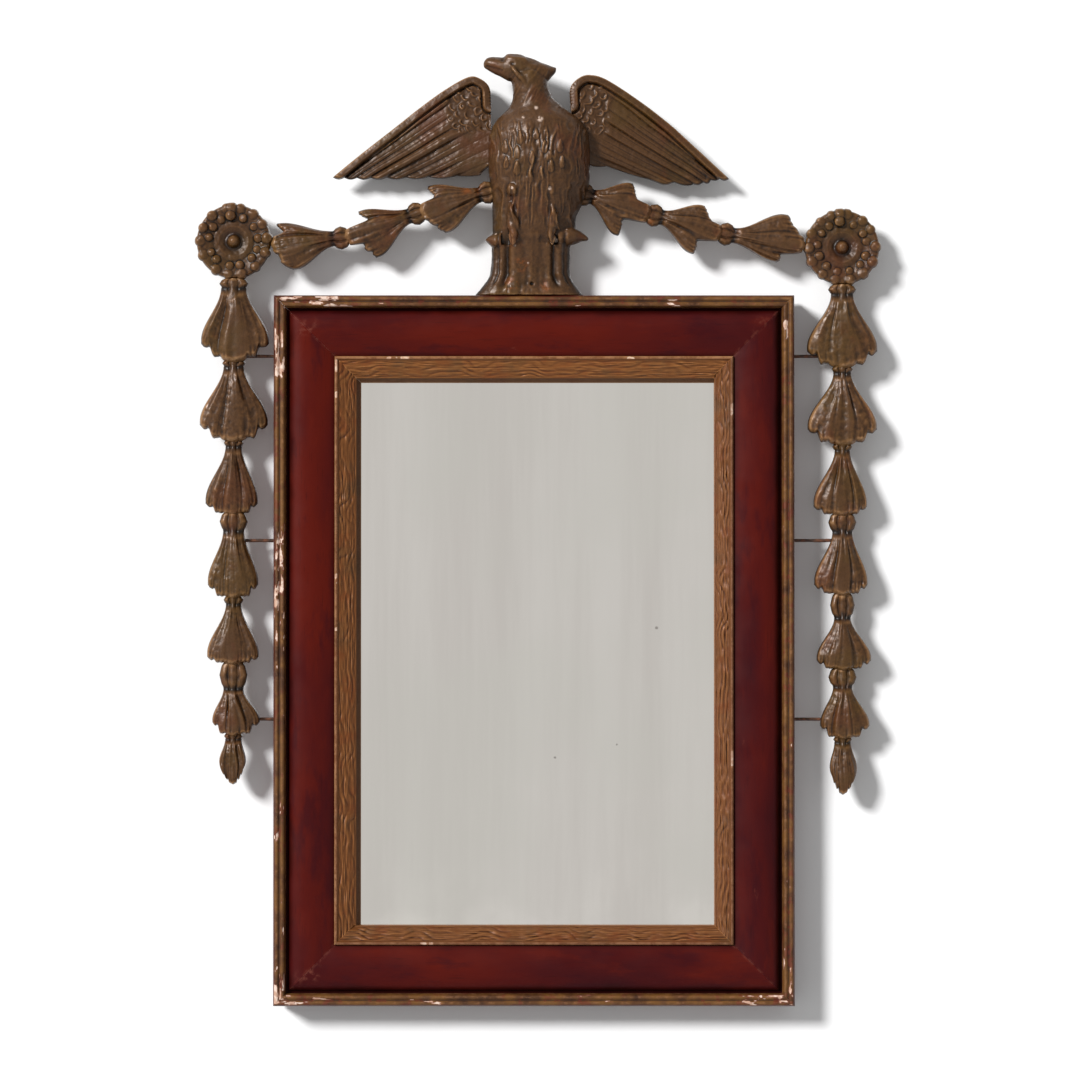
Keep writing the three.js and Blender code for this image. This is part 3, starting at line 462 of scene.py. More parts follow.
def carved_bronze():
    """Bronze-brown gilding on carving: painted shade in the grooves and near the back, painted highlight on the
    ridges, where the gilding is also abraded in patches.
    """
    f = Finish("carved_bronze")
    # Painted shade: rims near the back stay dark, however sharp they are.
    ridge = f.math("MINIMUM", f.attribute("ridge"), f.spread(f.attribute("rise"), 0.1, 0.6, 0.3, 1))
    # Painted shade in the grooves, painted highlight on the ridges.
    colour = f.ramp(ridge, [
        (0.06, srgb(18, 10, 6)), (0.3, srgb(46, 29, 18)), (0.5, srgb(88, 60, 39)),
        (0.7, srgb(120, 85, 58)), (0.95, srgb(164, 126, 98)),
    ])
    olive = f.patches(0.48, 0.66, 22, 3)
    colour = f.tint(colour, olive, 0.5, f.ramp(ridge, [(0.1, srgb(40, 27, 8)), (0.8, srgb(112, 84, 38))]))
    russet = f.patches(0.54, 0.68, 34, 3, vector=f.stretched(1, 1, 0.8))
    colour = f.tint(colour, russet, 0.45, f.ramp(ridge, [(0.1, srgb(52, 22, 13)), (0.8, srgb(122, 68, 44))]))
    ember = f.math("MULTIPLY", f.attribute("ember"), f.patches(0.42, 0.62, 160, 5, 0.7))
    colour = f.tint(colour, ember, 0.55, srgb(164, 92, 40))
    # Abraded gilding and painted highlight: the highest ridges turn pale in patches.
    wear_and_highlight = f.math("MULTIPLY", f.spread(ridge, 0.6, 0.9), f.patches(0.5, 0.64, 120, 5, 0.7))
    colour = f.tint(colour, wear_and_highlight, 0.6, srgb(178, 140, 114))
    # Painted shade: the lower the surface stands over the back, the darker.
    shade = f.spread(f.attribute("rise"), 0.0, 0.75, 0.3, 1.1)
    colour = f.times(colour, f.grey(shade))
    # A fine random mottle of dirt over the whole carving.
    grime_and_painted_shade = f.spread(f.noise(900, 3, 0.7), 0.3, 0.7, 0.8, 1.1)
    colour = f.times(colour, f.grey(grime_and_painted_shade))
    colour = f.times(colour, (0.71, 0.66, 0.48, 1))
    behind = f.spread(f.attribute("rise"), 0.0, 0.015, 1, 0)
    bare = f.ramp(f.noise(70, 4, 0.6), [(0.3, srgb(48, 33, 24)), (0.7, srgb(76, 54, 39))])
    colour = f.mix(behind, colour, bare)
    chips = f.math("MULTIPLY", f.attribute("chip"), f.patches(0.35, 0.5, 420, 3))
    colour = f.mix(chips, colour, srgb(196, 172, 156))
    roughness = f.spread(f.noise(90, 4), 0.3, 0.7, 0.3, 0.46)
    fine = f.bump(f.noise(1400, 3, 0.6), 0.00006, 0.5)
    normal = f.bump(f.noise(240, 4, 0.6), 0.0005, 0.5, below=fine)
    return f.surface(colour, roughness, normal, Metallic=0.1, Specular_IOR_Level=0.27)


def red_wood(name, along):
    """Red-stained moulding: deep clouds of orange-red and purplish red, painted shade in the quirk and beside the
    slip, hardly any grain.
    """
    f = Finish(name)
    fibres, clouds = (f.stretched(*((k, 1, 1) if along == "x" else (1, 1, k))) for k in (0.045, 0.3))
    fibre = f.noise(900, 5, 0.65, fibres)
    cloud = f.noise(13, 4, 0.55, clouds)
    mottle = f.noise(55, 5, 0.6, clouds)
    colour = f.ramp(cloud, [(0.32, srgb(62, 17, 25)), (0.47, srgb(84, 22, 22)), (0.62, srgb(106, 30, 18))])
    colour = f.mix(f.spread(mottle, 0.52, 0.68, 0, 0.6), colour, srgb(62, 16, 26))
    colour = f.mix(f.spread(mottle, 0.46, 0.3, 0, 0.4), colour, srgb(112, 34, 20))
    colour = f.mix(f.spread(fibre, 0.3, 0.42, 0.35, 0), colour, srgb(44, 11, 11))
    # Painted shade: darker in the deep quirk by the bead and beside the slip.
    grime_and_painted_shade = f.attribute("grime_and_painted_shade")
    colour = f.tint(colour, grime_and_painted_shade, 0.8, srgb(38, 10, 9))
    scuff = f.math("MULTIPLY", f.attribute("scuff"), f.patches(0.46, 0.58, 150, 5, 0.75))
    colour = f.tint(colour, scuff, 0.6, srgb(150, 92, 78))
    stray = f.patches(0.68, 0.75, 70, 6, 0.75, clouds)
    colour = f.tint(colour, stray, 0.4, srgb(136, 74, 60))
    colour = f.times(colour, (0.62, 0.5, 0.48, 1))
    roughness = f.spread(f.noise(40, 4), 0.3, 0.7, 0.3, 0.46)
    normal = f.bump(fibre, 0.00006, 0.3, below=f.bump(f.noise(60, 3, 0.5), 0.0006, 0.3))
    return f.surface(colour, roughness, normal, Specular_IOR_Level=0.08)


def worn_gilt():
    """Old gilding on the outer bead: browned gilding with painted shade in its groove, a painted highlight on its
    rounds that is also abraded in patches, red bole beside it, and gesso where it has chipped.
    """
    f = Finish("worn_gilt_bead")
    ridge = f.attribute("ridge")
    colour = f.ramp(f.noise(60, 5, 0.6), [
        (0.3, srgb(58, 34, 20)), (0.44, srgb(88, 58, 32)), (0.58, srgb(112, 78, 38)), (0.74, srgb(86, 58, 38)),
    ])
    # Painted shade: the groove between the rounds goes dark.
    colour = f.mix(f.spread(ridge, 0.16, 0.44), srgb(34, 15, 9), colour)
    # Abraded gilding and painted highlight: the tops of the rounds turn pale in patches.
    rubbed_and_highlit = f.math("MULTIPLY", f.spread(ridge, 0.55, 0.78), f.patches(0.48, 0.62, 190, 5, 0.7))
    colour = f.tint(colour, rubbed_and_highlit, 0.6, srgb(160, 118, 84))
    bole = f.patches(0.55, 0.62, 95, 5, 0.7)
    colour = f.tint(colour, bole, 0.65, srgb(98, 38, 27))
    outer = f.attribute("outer")
    colour = f.tint(colour, outer, 0.8, srgb(70, 22, 17))
    loss = f.attribute("chip")
    colour = f.mix(f.spread(loss, 0.05, 0.35), colour, srgb(112, 62, 46))
    gesso = f.mix(f.patches(0.4, 0.6, 240, 3), srgb(196, 164, 146), srgb(230, 214, 204))
    colour = f.mix(f.spread(loss, 0.45, 0.8), colour, gesso)
    colour = f.times(colour, (0.94, 0.86, 0.8, 1))
    roughness = f.spread(loss, 0.2, 0.6, 0.42, 0.85)
    normal = f.bump(f.noise(420, 4, 0.65), 0.00025, 0.5)
    return f.surface(colour, roughness, normal, Metallic=0.12, Specular_IOR_Level=0.25)


def slip_gilt():
    """Warm gilding on the carved slip, dark brown in the grooves as painted shade and pale on the ridges as
    painted highlight, with pinkish gesso on its lip where the gilding is lost.
    """
    f = Finish("slip_gilt")
    ridge = f.attribute("ridge")
    # Painted shade in the grooves, painted highlight on the ridges.
    colour = f.ramp(ridge, [
        (0.05, srgb(30, 13, 5)), (0.3, srgb(78, 43, 20)), (0.5, srgb(122, 77, 40)),
        (0.72, srgb(158, 108, 62)), (0.95, srgb(196, 150, 106)),
    ])
    bole = f.patches(0.5, 0.64, 50, 4, 0.6)
    colour = f.tint(colour, bole, 0.6, f.ramp(ridge, [(0.1, srgb(50, 20, 7)), (0.8, srgb(150, 84, 40))]))
    dull = f.patches(0.52, 0.68, 28, 4, 0.6)
    colour = f.tint(colour, dull, 0.5, f.ramp(ridge, [(0.1, srgb(34, 22, 12)), (0.8, srgb(114, 86, 54))]))
    # Abraded gilding and painted highlight: the highest ridges turn pale in patches.
    wear_and_highlight = f.math("MULTIPLY", f.spread(ridge, 0.6, 0.85), f.patches(0.5, 0.62, 230, 5, 0.7))
    colour = f.tint(colour, wear_and_highlight, 0.5, srgb(214, 176, 140))
    lip = f.mix(f.patches(0.4, 0.62, 170, 5, 0.7), srgb(98, 62, 44), srgb(150, 112, 88))
    colour = f.tint(colour, f.attribute("lip"), 0.7, lip)
    # Painted shadow: the bevel by the glass on the left and top lengths goes dark.
    colour = f.tint(colour, f.attribute("sight"), 0.7, srgb(50, 36, 24))
    gesso = f.mix(f.patches(0.4, 0.6, 300, 3), srgb(196, 160, 142), srgb(226, 204, 192))
    colour = f.mix(f.spread(f.attribute("chip"), 0.35, 0.75), colour, gesso)
    # Painted light and shade: each length is made lighter or darker as a whole.
    painted_side_light = f.ramp(f.attribute("painted_side_light"), [
        (0, (0.64, 0.57, 0.5, 1)), (0.4, (0.86, 0.78, 0.68, 1)), (1, (1, 0.92, 0.76, 1)),
    ])
    colour = f.times(colour, painted_side_light)
    roughness = f.spread(f.noise(160, 4), 0.3, 0.7, 0.36, 0.5)
    normal = f.bump(f.noise(520, 4, 0.65), 0.0002, 0.5)
    return f.surface(colour, roughness, normal, Metallic=0.18, Specular_IOR_Level=0.25)


GLASS_FACE = 11.3  # from the wall


def silvered_glass(specks):
    """An old plate: pale grey silvering with faint upright streaks, and a few dark specks."""
    f = Finish("silvered_glass")
    streak = f.noise(24, 5, 0.6, f.stretched(1, 1, 0.07))
    cloud = f.noise(5, 4, 0.5)
    colour = f.mix(f.spread(streak, 0.3, 0.7), srgb(238, 232, 225), srgb(248, 243, 236))
    colour = f.tint(colour, f.spread(cloud, 0.42, 0.6), 0.5, srgb(240, 237, 228))
    for x, z, size in specks:
        middle = (x * MM, -GLASS_FACE * MM, z * MM)
        near = f.node("ShaderNodeVectorMath", {0: f.place, 1: middle}, operation="DISTANCE")
        ragged = f.math("ADD", near.outputs["Value"], f.math("MULTIPLY", f.noise(900, 3), 0.0012))
        spot = f.spread(ragged, size * MM, 1.9 * size * MM, 0.55, 0)
        colour = f.mix(spot, colour, srgb(104, 96, 88))
    roughness = f.spread(f.noise(14, 4), 0.3, 0.7, 0.03, 0.09)
    return f.surface(colour, roughness, Metallic=1.0)


def pine():
    """Bare softwood backs, oxidised and a little dusty."""
    f = Finish("aged_pine")
    rings = f.noise(75, 3, 0.5, f.stretched(1, 1, 0.05), distortion=0.6)
    bands = f.math("SINE", f.math("MULTIPLY", rings, 46.0))
    colour = f.mix(f.spread(bands, -0.6, 0.9), srgb(150, 112, 72), srgb(122, 84, 50))
    fibre = f.noise(1100, 4, 0.6, f.stretched(1, 1, 0.03))
    colour = f.mix(f.spread(fibre, 0.35, 0.5), srgb(96, 66, 42), colour)
    grey = f.patches(0.42, 0.68, 8, 5, 0.6)
    colour = f.tint(colour, grey, 0.55, srgb(112, 92, 72))
    normal = f.bump(fibre, 0.0003, 0.5)
    return f.surface(colour, f.spread(fibre, 0.3, 0.6, 0.7, 0.9), normal, Specular_IOR_Level=0.2)


def iron():
    """Thin iron rod, dark brown with rust."""
    f = Finish("browned_iron")
    rust = f.patches(0.42, 0.62, 260, 5, 0.7)
    colour = f.mix(rust, srgb(62, 46, 37), srgb(108, 66, 44))
    roughness = f.spread(f.noise(400, 4), 0.3, 0.7, 0.45, 0.75)
    return f.surface(colour, roughness, f.bump(f.noise(1500, 4, 0.7), 0.0001, 0.6), Metallic=0.45)


def brass():
    """Dulled brass of the hangers, browner in random patches."""
    f = Finish("dull_brass")
    stain = f.patches(0.4, 0.64, 180, 5, 0.7)
    colour = f.mix(stain, srgb(176, 138, 72), srgb(104, 76, 42))
    roughness = f.spread(f.noise(600, 4), 0.3, 0.7, 0.3, 0.5)
    return f.surface(colour, roughness, f.bump(f.noise(2200, 3), 0.00005, 0.5), Metallic=0.9)


BRONZE = carved_bronze()
RED_ALONG_X = red_wood("red_wood_rails", "x")
RED_ALONG_Z = red_wood("red_wood_stiles", "z")
BEAD_GILT = worn_gilt()
SLIP_GILT = slip_gilt()
PINE = pine()
IRON = iron()
BRASS = brass()


def photo_place(px, py):
    """Where a pixel of the photograph lies on the mirror's face."""
    return (px - PHOTO_ORIGIN[0]) * PIXEL, (PHOTO_ORIGIN[1] - py) * PIXEL


SPECKS = [(*photo_place(px, py), size) for px, py, size in ((657, 628, 1.3), (617, 745, 0.9), (555, 758, 1.1))]
GLASS = silvered_glass(SPECKS)

# ---- frame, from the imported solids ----
frame_top = mm_box("top_rail")[1][2]
frame_side = mm_box("right_stile")[1][0]

RAIL_FINISH = {
    "top_rail": RED_ALONG_X, "bottom_rail": RED_ALONG_X, "left_stile": RED_ALONG_Z, "right_stile": RED_ALONG_Z,
}


def dress_node(name, material):
    """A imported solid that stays, with a detailed finish."""
    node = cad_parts[name]
    node.data.materials.clear()
    node.data.materials.append(material)


for rail, wood in RAIL_FINISH.items():
    dress_node(rail, wood)
dress_node("mirror_glass", GLASS)
for board in ("upper_backboard", "lower_backboard", "crest_batten"):
    dress_node(board, PINE)
for side in ("left", "right"):
    dress_node("hanger_plate_" + side, BRASS)
    dress_node("hanger_screw_" + side, IRON)
for level in ("lower", "upper"):
    dress_node("crest_screw_" + level, IRON)

# Each side of the frame: name, quarter turns from the top, half its length, and distance to its outer side.
SIDES = [
    ("top", 0, frame_side, frame_top), ("right", 1, frame_top, frame_side),
    ("bottom", 2, frame_side, frame_top), ("left", 3, frame_top, frame_side),
]


def turned(x, z, quarters):
    """A point of the top side, turned clockwise as seen from the front to another side."""
    for _ in range(quarters):
        x, z = z, -x
    return x, z


MITRE_GAP = 0.05


def moulding(name, profile, half, edge, quarters, step, shape, stops=(math.inf, math.inf)):
    """A mitred length swept along a closed profile of (inwards, outwards) points.
    stops are how far in the mitre runs at either end: past it, the end is square.
    shape(run, inwards, front) gives the carved front, and named marks for the finish."""
    profile = np.array(profile, float)
    count = int(2 * half / step)
    share = np.linspace(-1, 1, count)[:, None]
    inwards = profile[None, :, 0] + 0 * share
    first, last = (half - MITRE_GAP - np.minimum(inwards, stop) for stop in stops)
    run = share * np.where(share < 0, first, last)
    front = profile[None, :, 1] + 0 * share
    front, marks = shape(run, inwards, front)
    x, z = turned(run, edge - inwards, quarters)
    rings = np.stack([x, -front, z], axis=-1)
    vertices, faces = loft(rings)
    made = new_object(name, vertices, faces)
    for attribute, values in marks.items():
        mark(made.data, attribute, values.ravel())
    return made


BEAD_WIDTH = 10.6
SEAT = 19.3  # wall to the seats of the bead and the slip
BEAD_HEIGHT = 9
BEAD_ROUNDS = [
    (0, 0.42), (0.03, 0.62), (0.1, 0.82), (0.2, 0.94), (0.32, 0.98), (0.42, 0.91), (0.5, 0.82), (0.58, 0.86),
    (0.7, 0.95), (0.82, 0.93), (0.92, 0.8), (1, 0.5),
]
# Where the gilding has chipped: along each side, from its left or top end in mm, and how badly.
CHIPPED = {
    "top": [(4, 24, 0.85), (34, 68, 1.1), (332, 348, 0.7), (252, 262, 0.6)],
    "left": [(8, 70, 1.15), (190, 296, 0.8), (455, 470, 0.6), (566, 604, 0.9)],
    "right": [(20, 36, 0.7), (196, 206, 0.7), (560, 604, 0.7)],
    "bottom": [(0, 52, 0.95), (110, 140, 0.6), (250, 290, 0.6), (392, 443, 0.8)],
}


def from_left_or_top(run, half, quarters):
    return run + half if quarters in (0, 1) else half - run


def chipping(side, run, half, quarters):
    """How badly the surface is chipped along a side, before the ragged edges are cut."""
    at = from_left_or_top(run, half, quarters)
    badly = np.full_like(run, 0.12)
    for start, end, strength in CHIPPED[side]:
        badly = np.maximum(badly, strength * ease(start - 8, start + 4, at) * (1 - ease(end - 4, end + 8, at)))
    return badly


def bead_shape(side, half, quarters):
    def shape(run, inwards, front):
        points = np.stack([run / 2.4, inwards * 1.6, np.full_like(run, 40.0 * quarters)], axis=-1)
        rough = layered_noise(points, 1, (1, 5.5), (0.6, 2.4), (0.35, 1.1))
        high = ease(0.62, 0.96, (front - SEAT) / BEAD_HEIGHT)
        chip = ease(0.0, 0.14, rough - 1.12 + chipping(side, run, half, quarters) * 0.9) * high
        plain = np.stack([run, inwards, np.full_like(run, 40.0 * quarters)], axis=-1)
        wave = 0.14 * noise(plain, 30, 4) + 0.07 * noise(plain, 5, 5)
        outer = 1 - ease(0.9, 2.0, inwards + 0.5 * noise(plain, 8, 9))
        return front + np.where(front > SEAT + 1, wave - 0.5 * chip, 0), {"chip": chip, "outer": outer}
    return shape


for side, quarters, half, edge in SIDES:
    rounds = through([(a * BEAD_WIDTH, SEAT + r * BEAD_HEIGHT) for a, r in BEAD_ROUNDS], 34)
    profile = [(0, SEAT), *rounds, (BEAD_WIDTH, SEAT)]
    bead = moulding("gilt_bead_" + side, profile, half, edge, quarters, 0.9, bead_shape(side, half, quarters))
    finish_piece(bead, BEAD_GILT, ["outer_bead_" + side], ridge_scale=0.5)

# The red cushion's face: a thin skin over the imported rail, with its crown drawn smooth.
QUIRK = BEAD_WIDTH + 0.3
SLIP_OUTER = 52
CUSHION_WIDTH = SLIP_OUTER - 0.3 - QUIRK
CUSHION_SEAT = 19
CUSHION_RISE = 8.3
CROWN = [
    (0.0, 0.0), (0.04, 0.05), (0.08, 0.42), (0.17, 0.73), (0.31, 0.94), (0.47, 1.0), (0.62, 0.95), (0.78, 0.8),
    (0.92, 0.6), (1.0, 0.46),
]
SKIN = 0.45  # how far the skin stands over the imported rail


# Scuffs beside the mitres: side, from its left or top end in mm, and how far along they run.
SCUFFED = {
    "top": [(14, 34), (410, 428)], "left": [(12, 34), (575, 592)], "right": [(14, 26)], "bottom": [(18, 40)],
}


def cushion_shape(side, half, quarters):
    def shape(run, inwards, front):
        points = np.stack([run, inwards, np.full_like(run, 77.0 * quarters)], axis=-1)
        across = inwards - QUIRK
        sunk = 0.25 * bump(across, 0, 2)
        # Painted shade: dark in the quirk, where the bead shades the cushion, and a little beside the slip.
        grime_and_painted_shade = 1 - ease(1.5, 8.5, across + 1.8 * noise(points, 22, 8) + 0.8 * noise(points, 7, 10))
        grime_and_painted_shade = np.maximum(grime_and_painted_shade, 0.6 * ease(CUSHION_WIDTH - 5, CUSHION_WIDTH, across))
        mitre = half - inwards - np.abs(run)
        scuff = 0.5 * (1 - ease(0.4, 2.6, mitre + 1.2 * noise(points, 9, 14)))
        at = from_left_or_top(run, half, quarters)
        for start, end in SCUFFED[side]:
            patch = ease(start - 4, start + 3, at) * (1 - ease(end - 3, end + 6, at))
            patch = patch * bump(across, 0.42 * CUSHION_WIDTH, 7) * ease(-0.2, 0.5, noise(points, 5, 15))
            scuff = np.maximum(scuff, patch)
        lifted = front + np.where(front > CUSHION_SEAT + 0.6, 0.12 * noise(points, 45, 6) - sunk, 0)
        return lifted, {"grime_and_painted_shade": grime_and_painted_shade, "scuff": scuff}
    return shape


for side, quarters, half, edge in SIDES:
    crown = through([(QUIRK + a * CUSHION_WIDTH, CUSHION_SEAT + r * CUSHION_RISE + SKIN) for a, r in CROWN], 44)
    profile = [(QUIRK, CUSHION_SEAT + 0.1), *crown, (SLIP_OUTER - 0.3, CUSHION_SEAT + 0.1)]
    shape = cushion_shape(side, half, quarters)
    skin = moulding("red_cushion_" + side, profile, half, edge, quarters, 1.6, shape)
    finish_piece(skin, RED_ALONG_X if quarters % 2 == 0 else RED_ALONG_Z, ridge_scale=0.5)

# The carved inner slip: strands flow in long waves down its slope, between a rubbed lip and the glass.
# Widths are from its outer edge to the crest beside the glass, and of the bevel beyond. The right and bottom
# lengths show narrower.
SLIP_WIDTHS = {"top": (18, 4), "right": (15.6, 0.5), "bottom": (15.6, 0.5), "left": (18, 4)}
NARROW_SLIP = sum(SLIP_WIDTHS["right"])
# The wide lengths run on, past the mitre, up to the narrow ones.
SLIP_STOPS = {"top": (math.inf, SLIP_OUTER + NARROW_SLIP), "left": (SLIP_OUTER + NARROW_SLIP, math.inf)}
SLIP_PAINTED_SIDE_LIGHT = {"left": 0.5, "top": 1.0, "right": 0.02, "bottom": 0.12}  # painted light and shade for each length: the right and bottom ones, which face the lamp, darker
# Where the lip has lost its gilding: side, and from its left or top end in mm.
LIP_CHIPS = {
    "left": [(52, 66), (78, 86), (232, 262), (282, 300)], "top": [(96, 116), (300, 318)],
    "right": [(90, 106), (386, 402)], "bottom": [(120, 142), (330, 344)],
}
REBATE_SIDE = 58.3  # from the frame's outer side, where the slip's tongue ends
SLIP_BACK = 11.6
LIP_RISE = 7
SIGHT_RISE = 5
WAVE_LENGTH = 56
WAVE_SWING = 0.24  # of the strands, as a share of the slope
STRAND_SPACING = 0.38
STRAND_HEIGHT = 1.1


def slip_profile(width, bevel):
    lip = SEAT + LIP_RISE
    sight = SLIP_BACK + SIGHT_RISE
    inner = SLIP_OUTER + width
    glass = inner + bevel
    face = through([
        (SLIP_OUTER, lip - 1.4), (SLIP_OUTER + 0.4, lip - 0.35), (SLIP_OUTER + 1.3, lip),
        (SLIP_OUTER + 2.3, lip - 0.4), (SLIP_OUTER + 3.1, lip - 1.7), (SLIP_OUTER + 4.0, lip - 2.3),
        (SLIP_OUTER + 11, (lip + sight) / 2 - 0.7), (inner - 1, sight), (inner, sight - 0.6),
        (inner + bevel / 2, SLIP_BACK + 2.3), (glass, SLIP_BACK + 0.5),
    ], 66)
    return [(SLIP_OUTER, SEAT), *face, (glass, SLIP_BACK), (REBATE_SIDE, SLIP_BACK), (REBATE_SIDE, SEAT)]


def strands(run, slope, seed):
    """Height of the flowing strands at a place along the slip and across its slope, from 0 to 1."""
    def field(size_along, size_across, key):
        place = np.stack([run / size_along, slope / size_across, np.full_like(run, seed)], axis=-1)
        return noise(place, 1.0, key)

    phase = 2 * math.pi * run / WAVE_LENGTH + 1.1 * field(60, 9, 17)
    swing = (0.75 + 0.5 * field(45, 9, 16)) * np.sin(phase + 0.5 * np.sin(phase))
    wave = swing + 0.25 * np.sin(2.3 * phase + seed)
    place = (slope - WAVE_SWING * wave) / STRAND_SPACING + 0.55 * field(24, 0.5, 18)
    f = place % 1
    round_top = np.sin(math.pi * np.clip((f - 0.03) / 0.94, 0, 1))
    fading = 0.55 + 0.45 * ease(-0.5, 0.3, field(20, 0.4, 19))
    strokes = 1 - np.abs(field(13, 0.11, 20)) * 1.5
    return 0.62 * round_top * fading + 0.45 * strokes + 0.18 * field(5, 0.12, 21)


def slip_shape(side, half, quarters):
    width = SLIP_WIDTHS[side][0]

    def shape(run, inwards, front):
        slope = (inwards - SLIP_OUTER - 3.4) / (width - 4.4)
        points = np.stack([run, inwards, np.full_like(run, 91.0 * quarters)], axis=-1)
        carved_part = (front > SLIP_BACK + 2) & (inwards < SLIP_OUTER + width + 0.5)
        on_slope = ease(0, 0.07, slope) * (1 - ease(0.95, 1.03, slope)) * carved_part
        carved = STRAND_HEIGHT * (strands(run + 13 * quarters, slope, quarters) - 0.6)
        on_lip = bump(inwards, SLIP_OUTER + 1.3, 1.2) * (front > SEAT + 2)
        rough = noise(points, 9, 11) + 0.6 * noise(points, 3, 12)
        at = from_left_or_top(run, half, quarters)
        badly = np.zeros_like(run)
        for start, end in LIP_CHIPS[side]:
            badly = np.maximum(badly, ease(start - 3, start + 2, at) * (1 - ease(end - 2, end + 3, at)))
        chip = ease(0.1, 0.35, rough - 1.15 + 1.1 * badly) * on_lip
        dents = 0.13 * noise(points, 6, 13) * (on_slope + on_lip)
        lifted = front + on_slope * carved + dents - 0.35 * chip * on_lip
        # Painted shadow on the bevel by the glass, on the left and top lengths only.
        painted_sight_shadow = ease(-0.6, 0.6, inwards - SLIP_OUTER - width) * (side in ("left", "top"))
        # Painted light and shade for the whole length.
        painted_side_light = np.full_like(run, SLIP_PAINTED_SIDE_LIGHT[side])
        return lifted, {"chip": chip, "lip": ease(0.25, 0.7, on_lip), "sight": painted_sight_shadow, "painted_side_light": painted_side_light}
    return shape


for side, quarters, half, edge in SIDES:
    profile = slip_profile(*SLIP_WIDTHS[side])
    stops = SLIP_STOPS.get(side, (math.inf, math.inf))
    shape = slip_shape(side, half, quarters)
    slip = moulding("carved_slip_" + side, profile, half, edge, quarters, 0.8, shape, stops)
    finish_piece(slip, SLIP_GILT, ["inner_slip_" + side], ridge_scale=0.5)

# ---- husks ----
HUSK_BACK = 11.5
HUSK_EDGE = 3
HUSK_CROWN = 10.5
FLARE_END = 0.93  # where a husk has its full width, as a share of the way to its mouth
# A husk's mouth from beside its middle leaf outwards: share of the half width, and reach as a share of the
# husk's length. A drop husk's reach is counted from its side tip.
DROP_MOUTH = [
    (0.4, 0.15), (0.5, 0.165), (0.6, 0.17), (0.66, 0.14), (0.72, 0.03), (0.8, 0.055), (0.9, 0.05), (1, -0.01),
]
BUD_MOUTH = [(0.42, 0.2), (0.52, 0.25), (0.62, 0.22), (0.72, 0.13), (0.82, 0.14), (0.92, 0.09), (1, 0.0)]
MIDDLE_LEAF = 0.35
HUSK_COLUMNS = 101
COLLAR_ROWS = 12
BODY_ROWS = 72
CUTS = [0.2, 0.53, 0.64, 0.79, 0.9]  # short knife cuts at the mouth, as shares of the half width


def mouth_line(mouth, across):
    at = [0, 0.26, MIDDLE_LEAF, *(a for a, _ in mouth)]
    reach = [1, 0.975, 0.955, *(r for _, r in mouth)]
    return np.interp(across, at, reach)


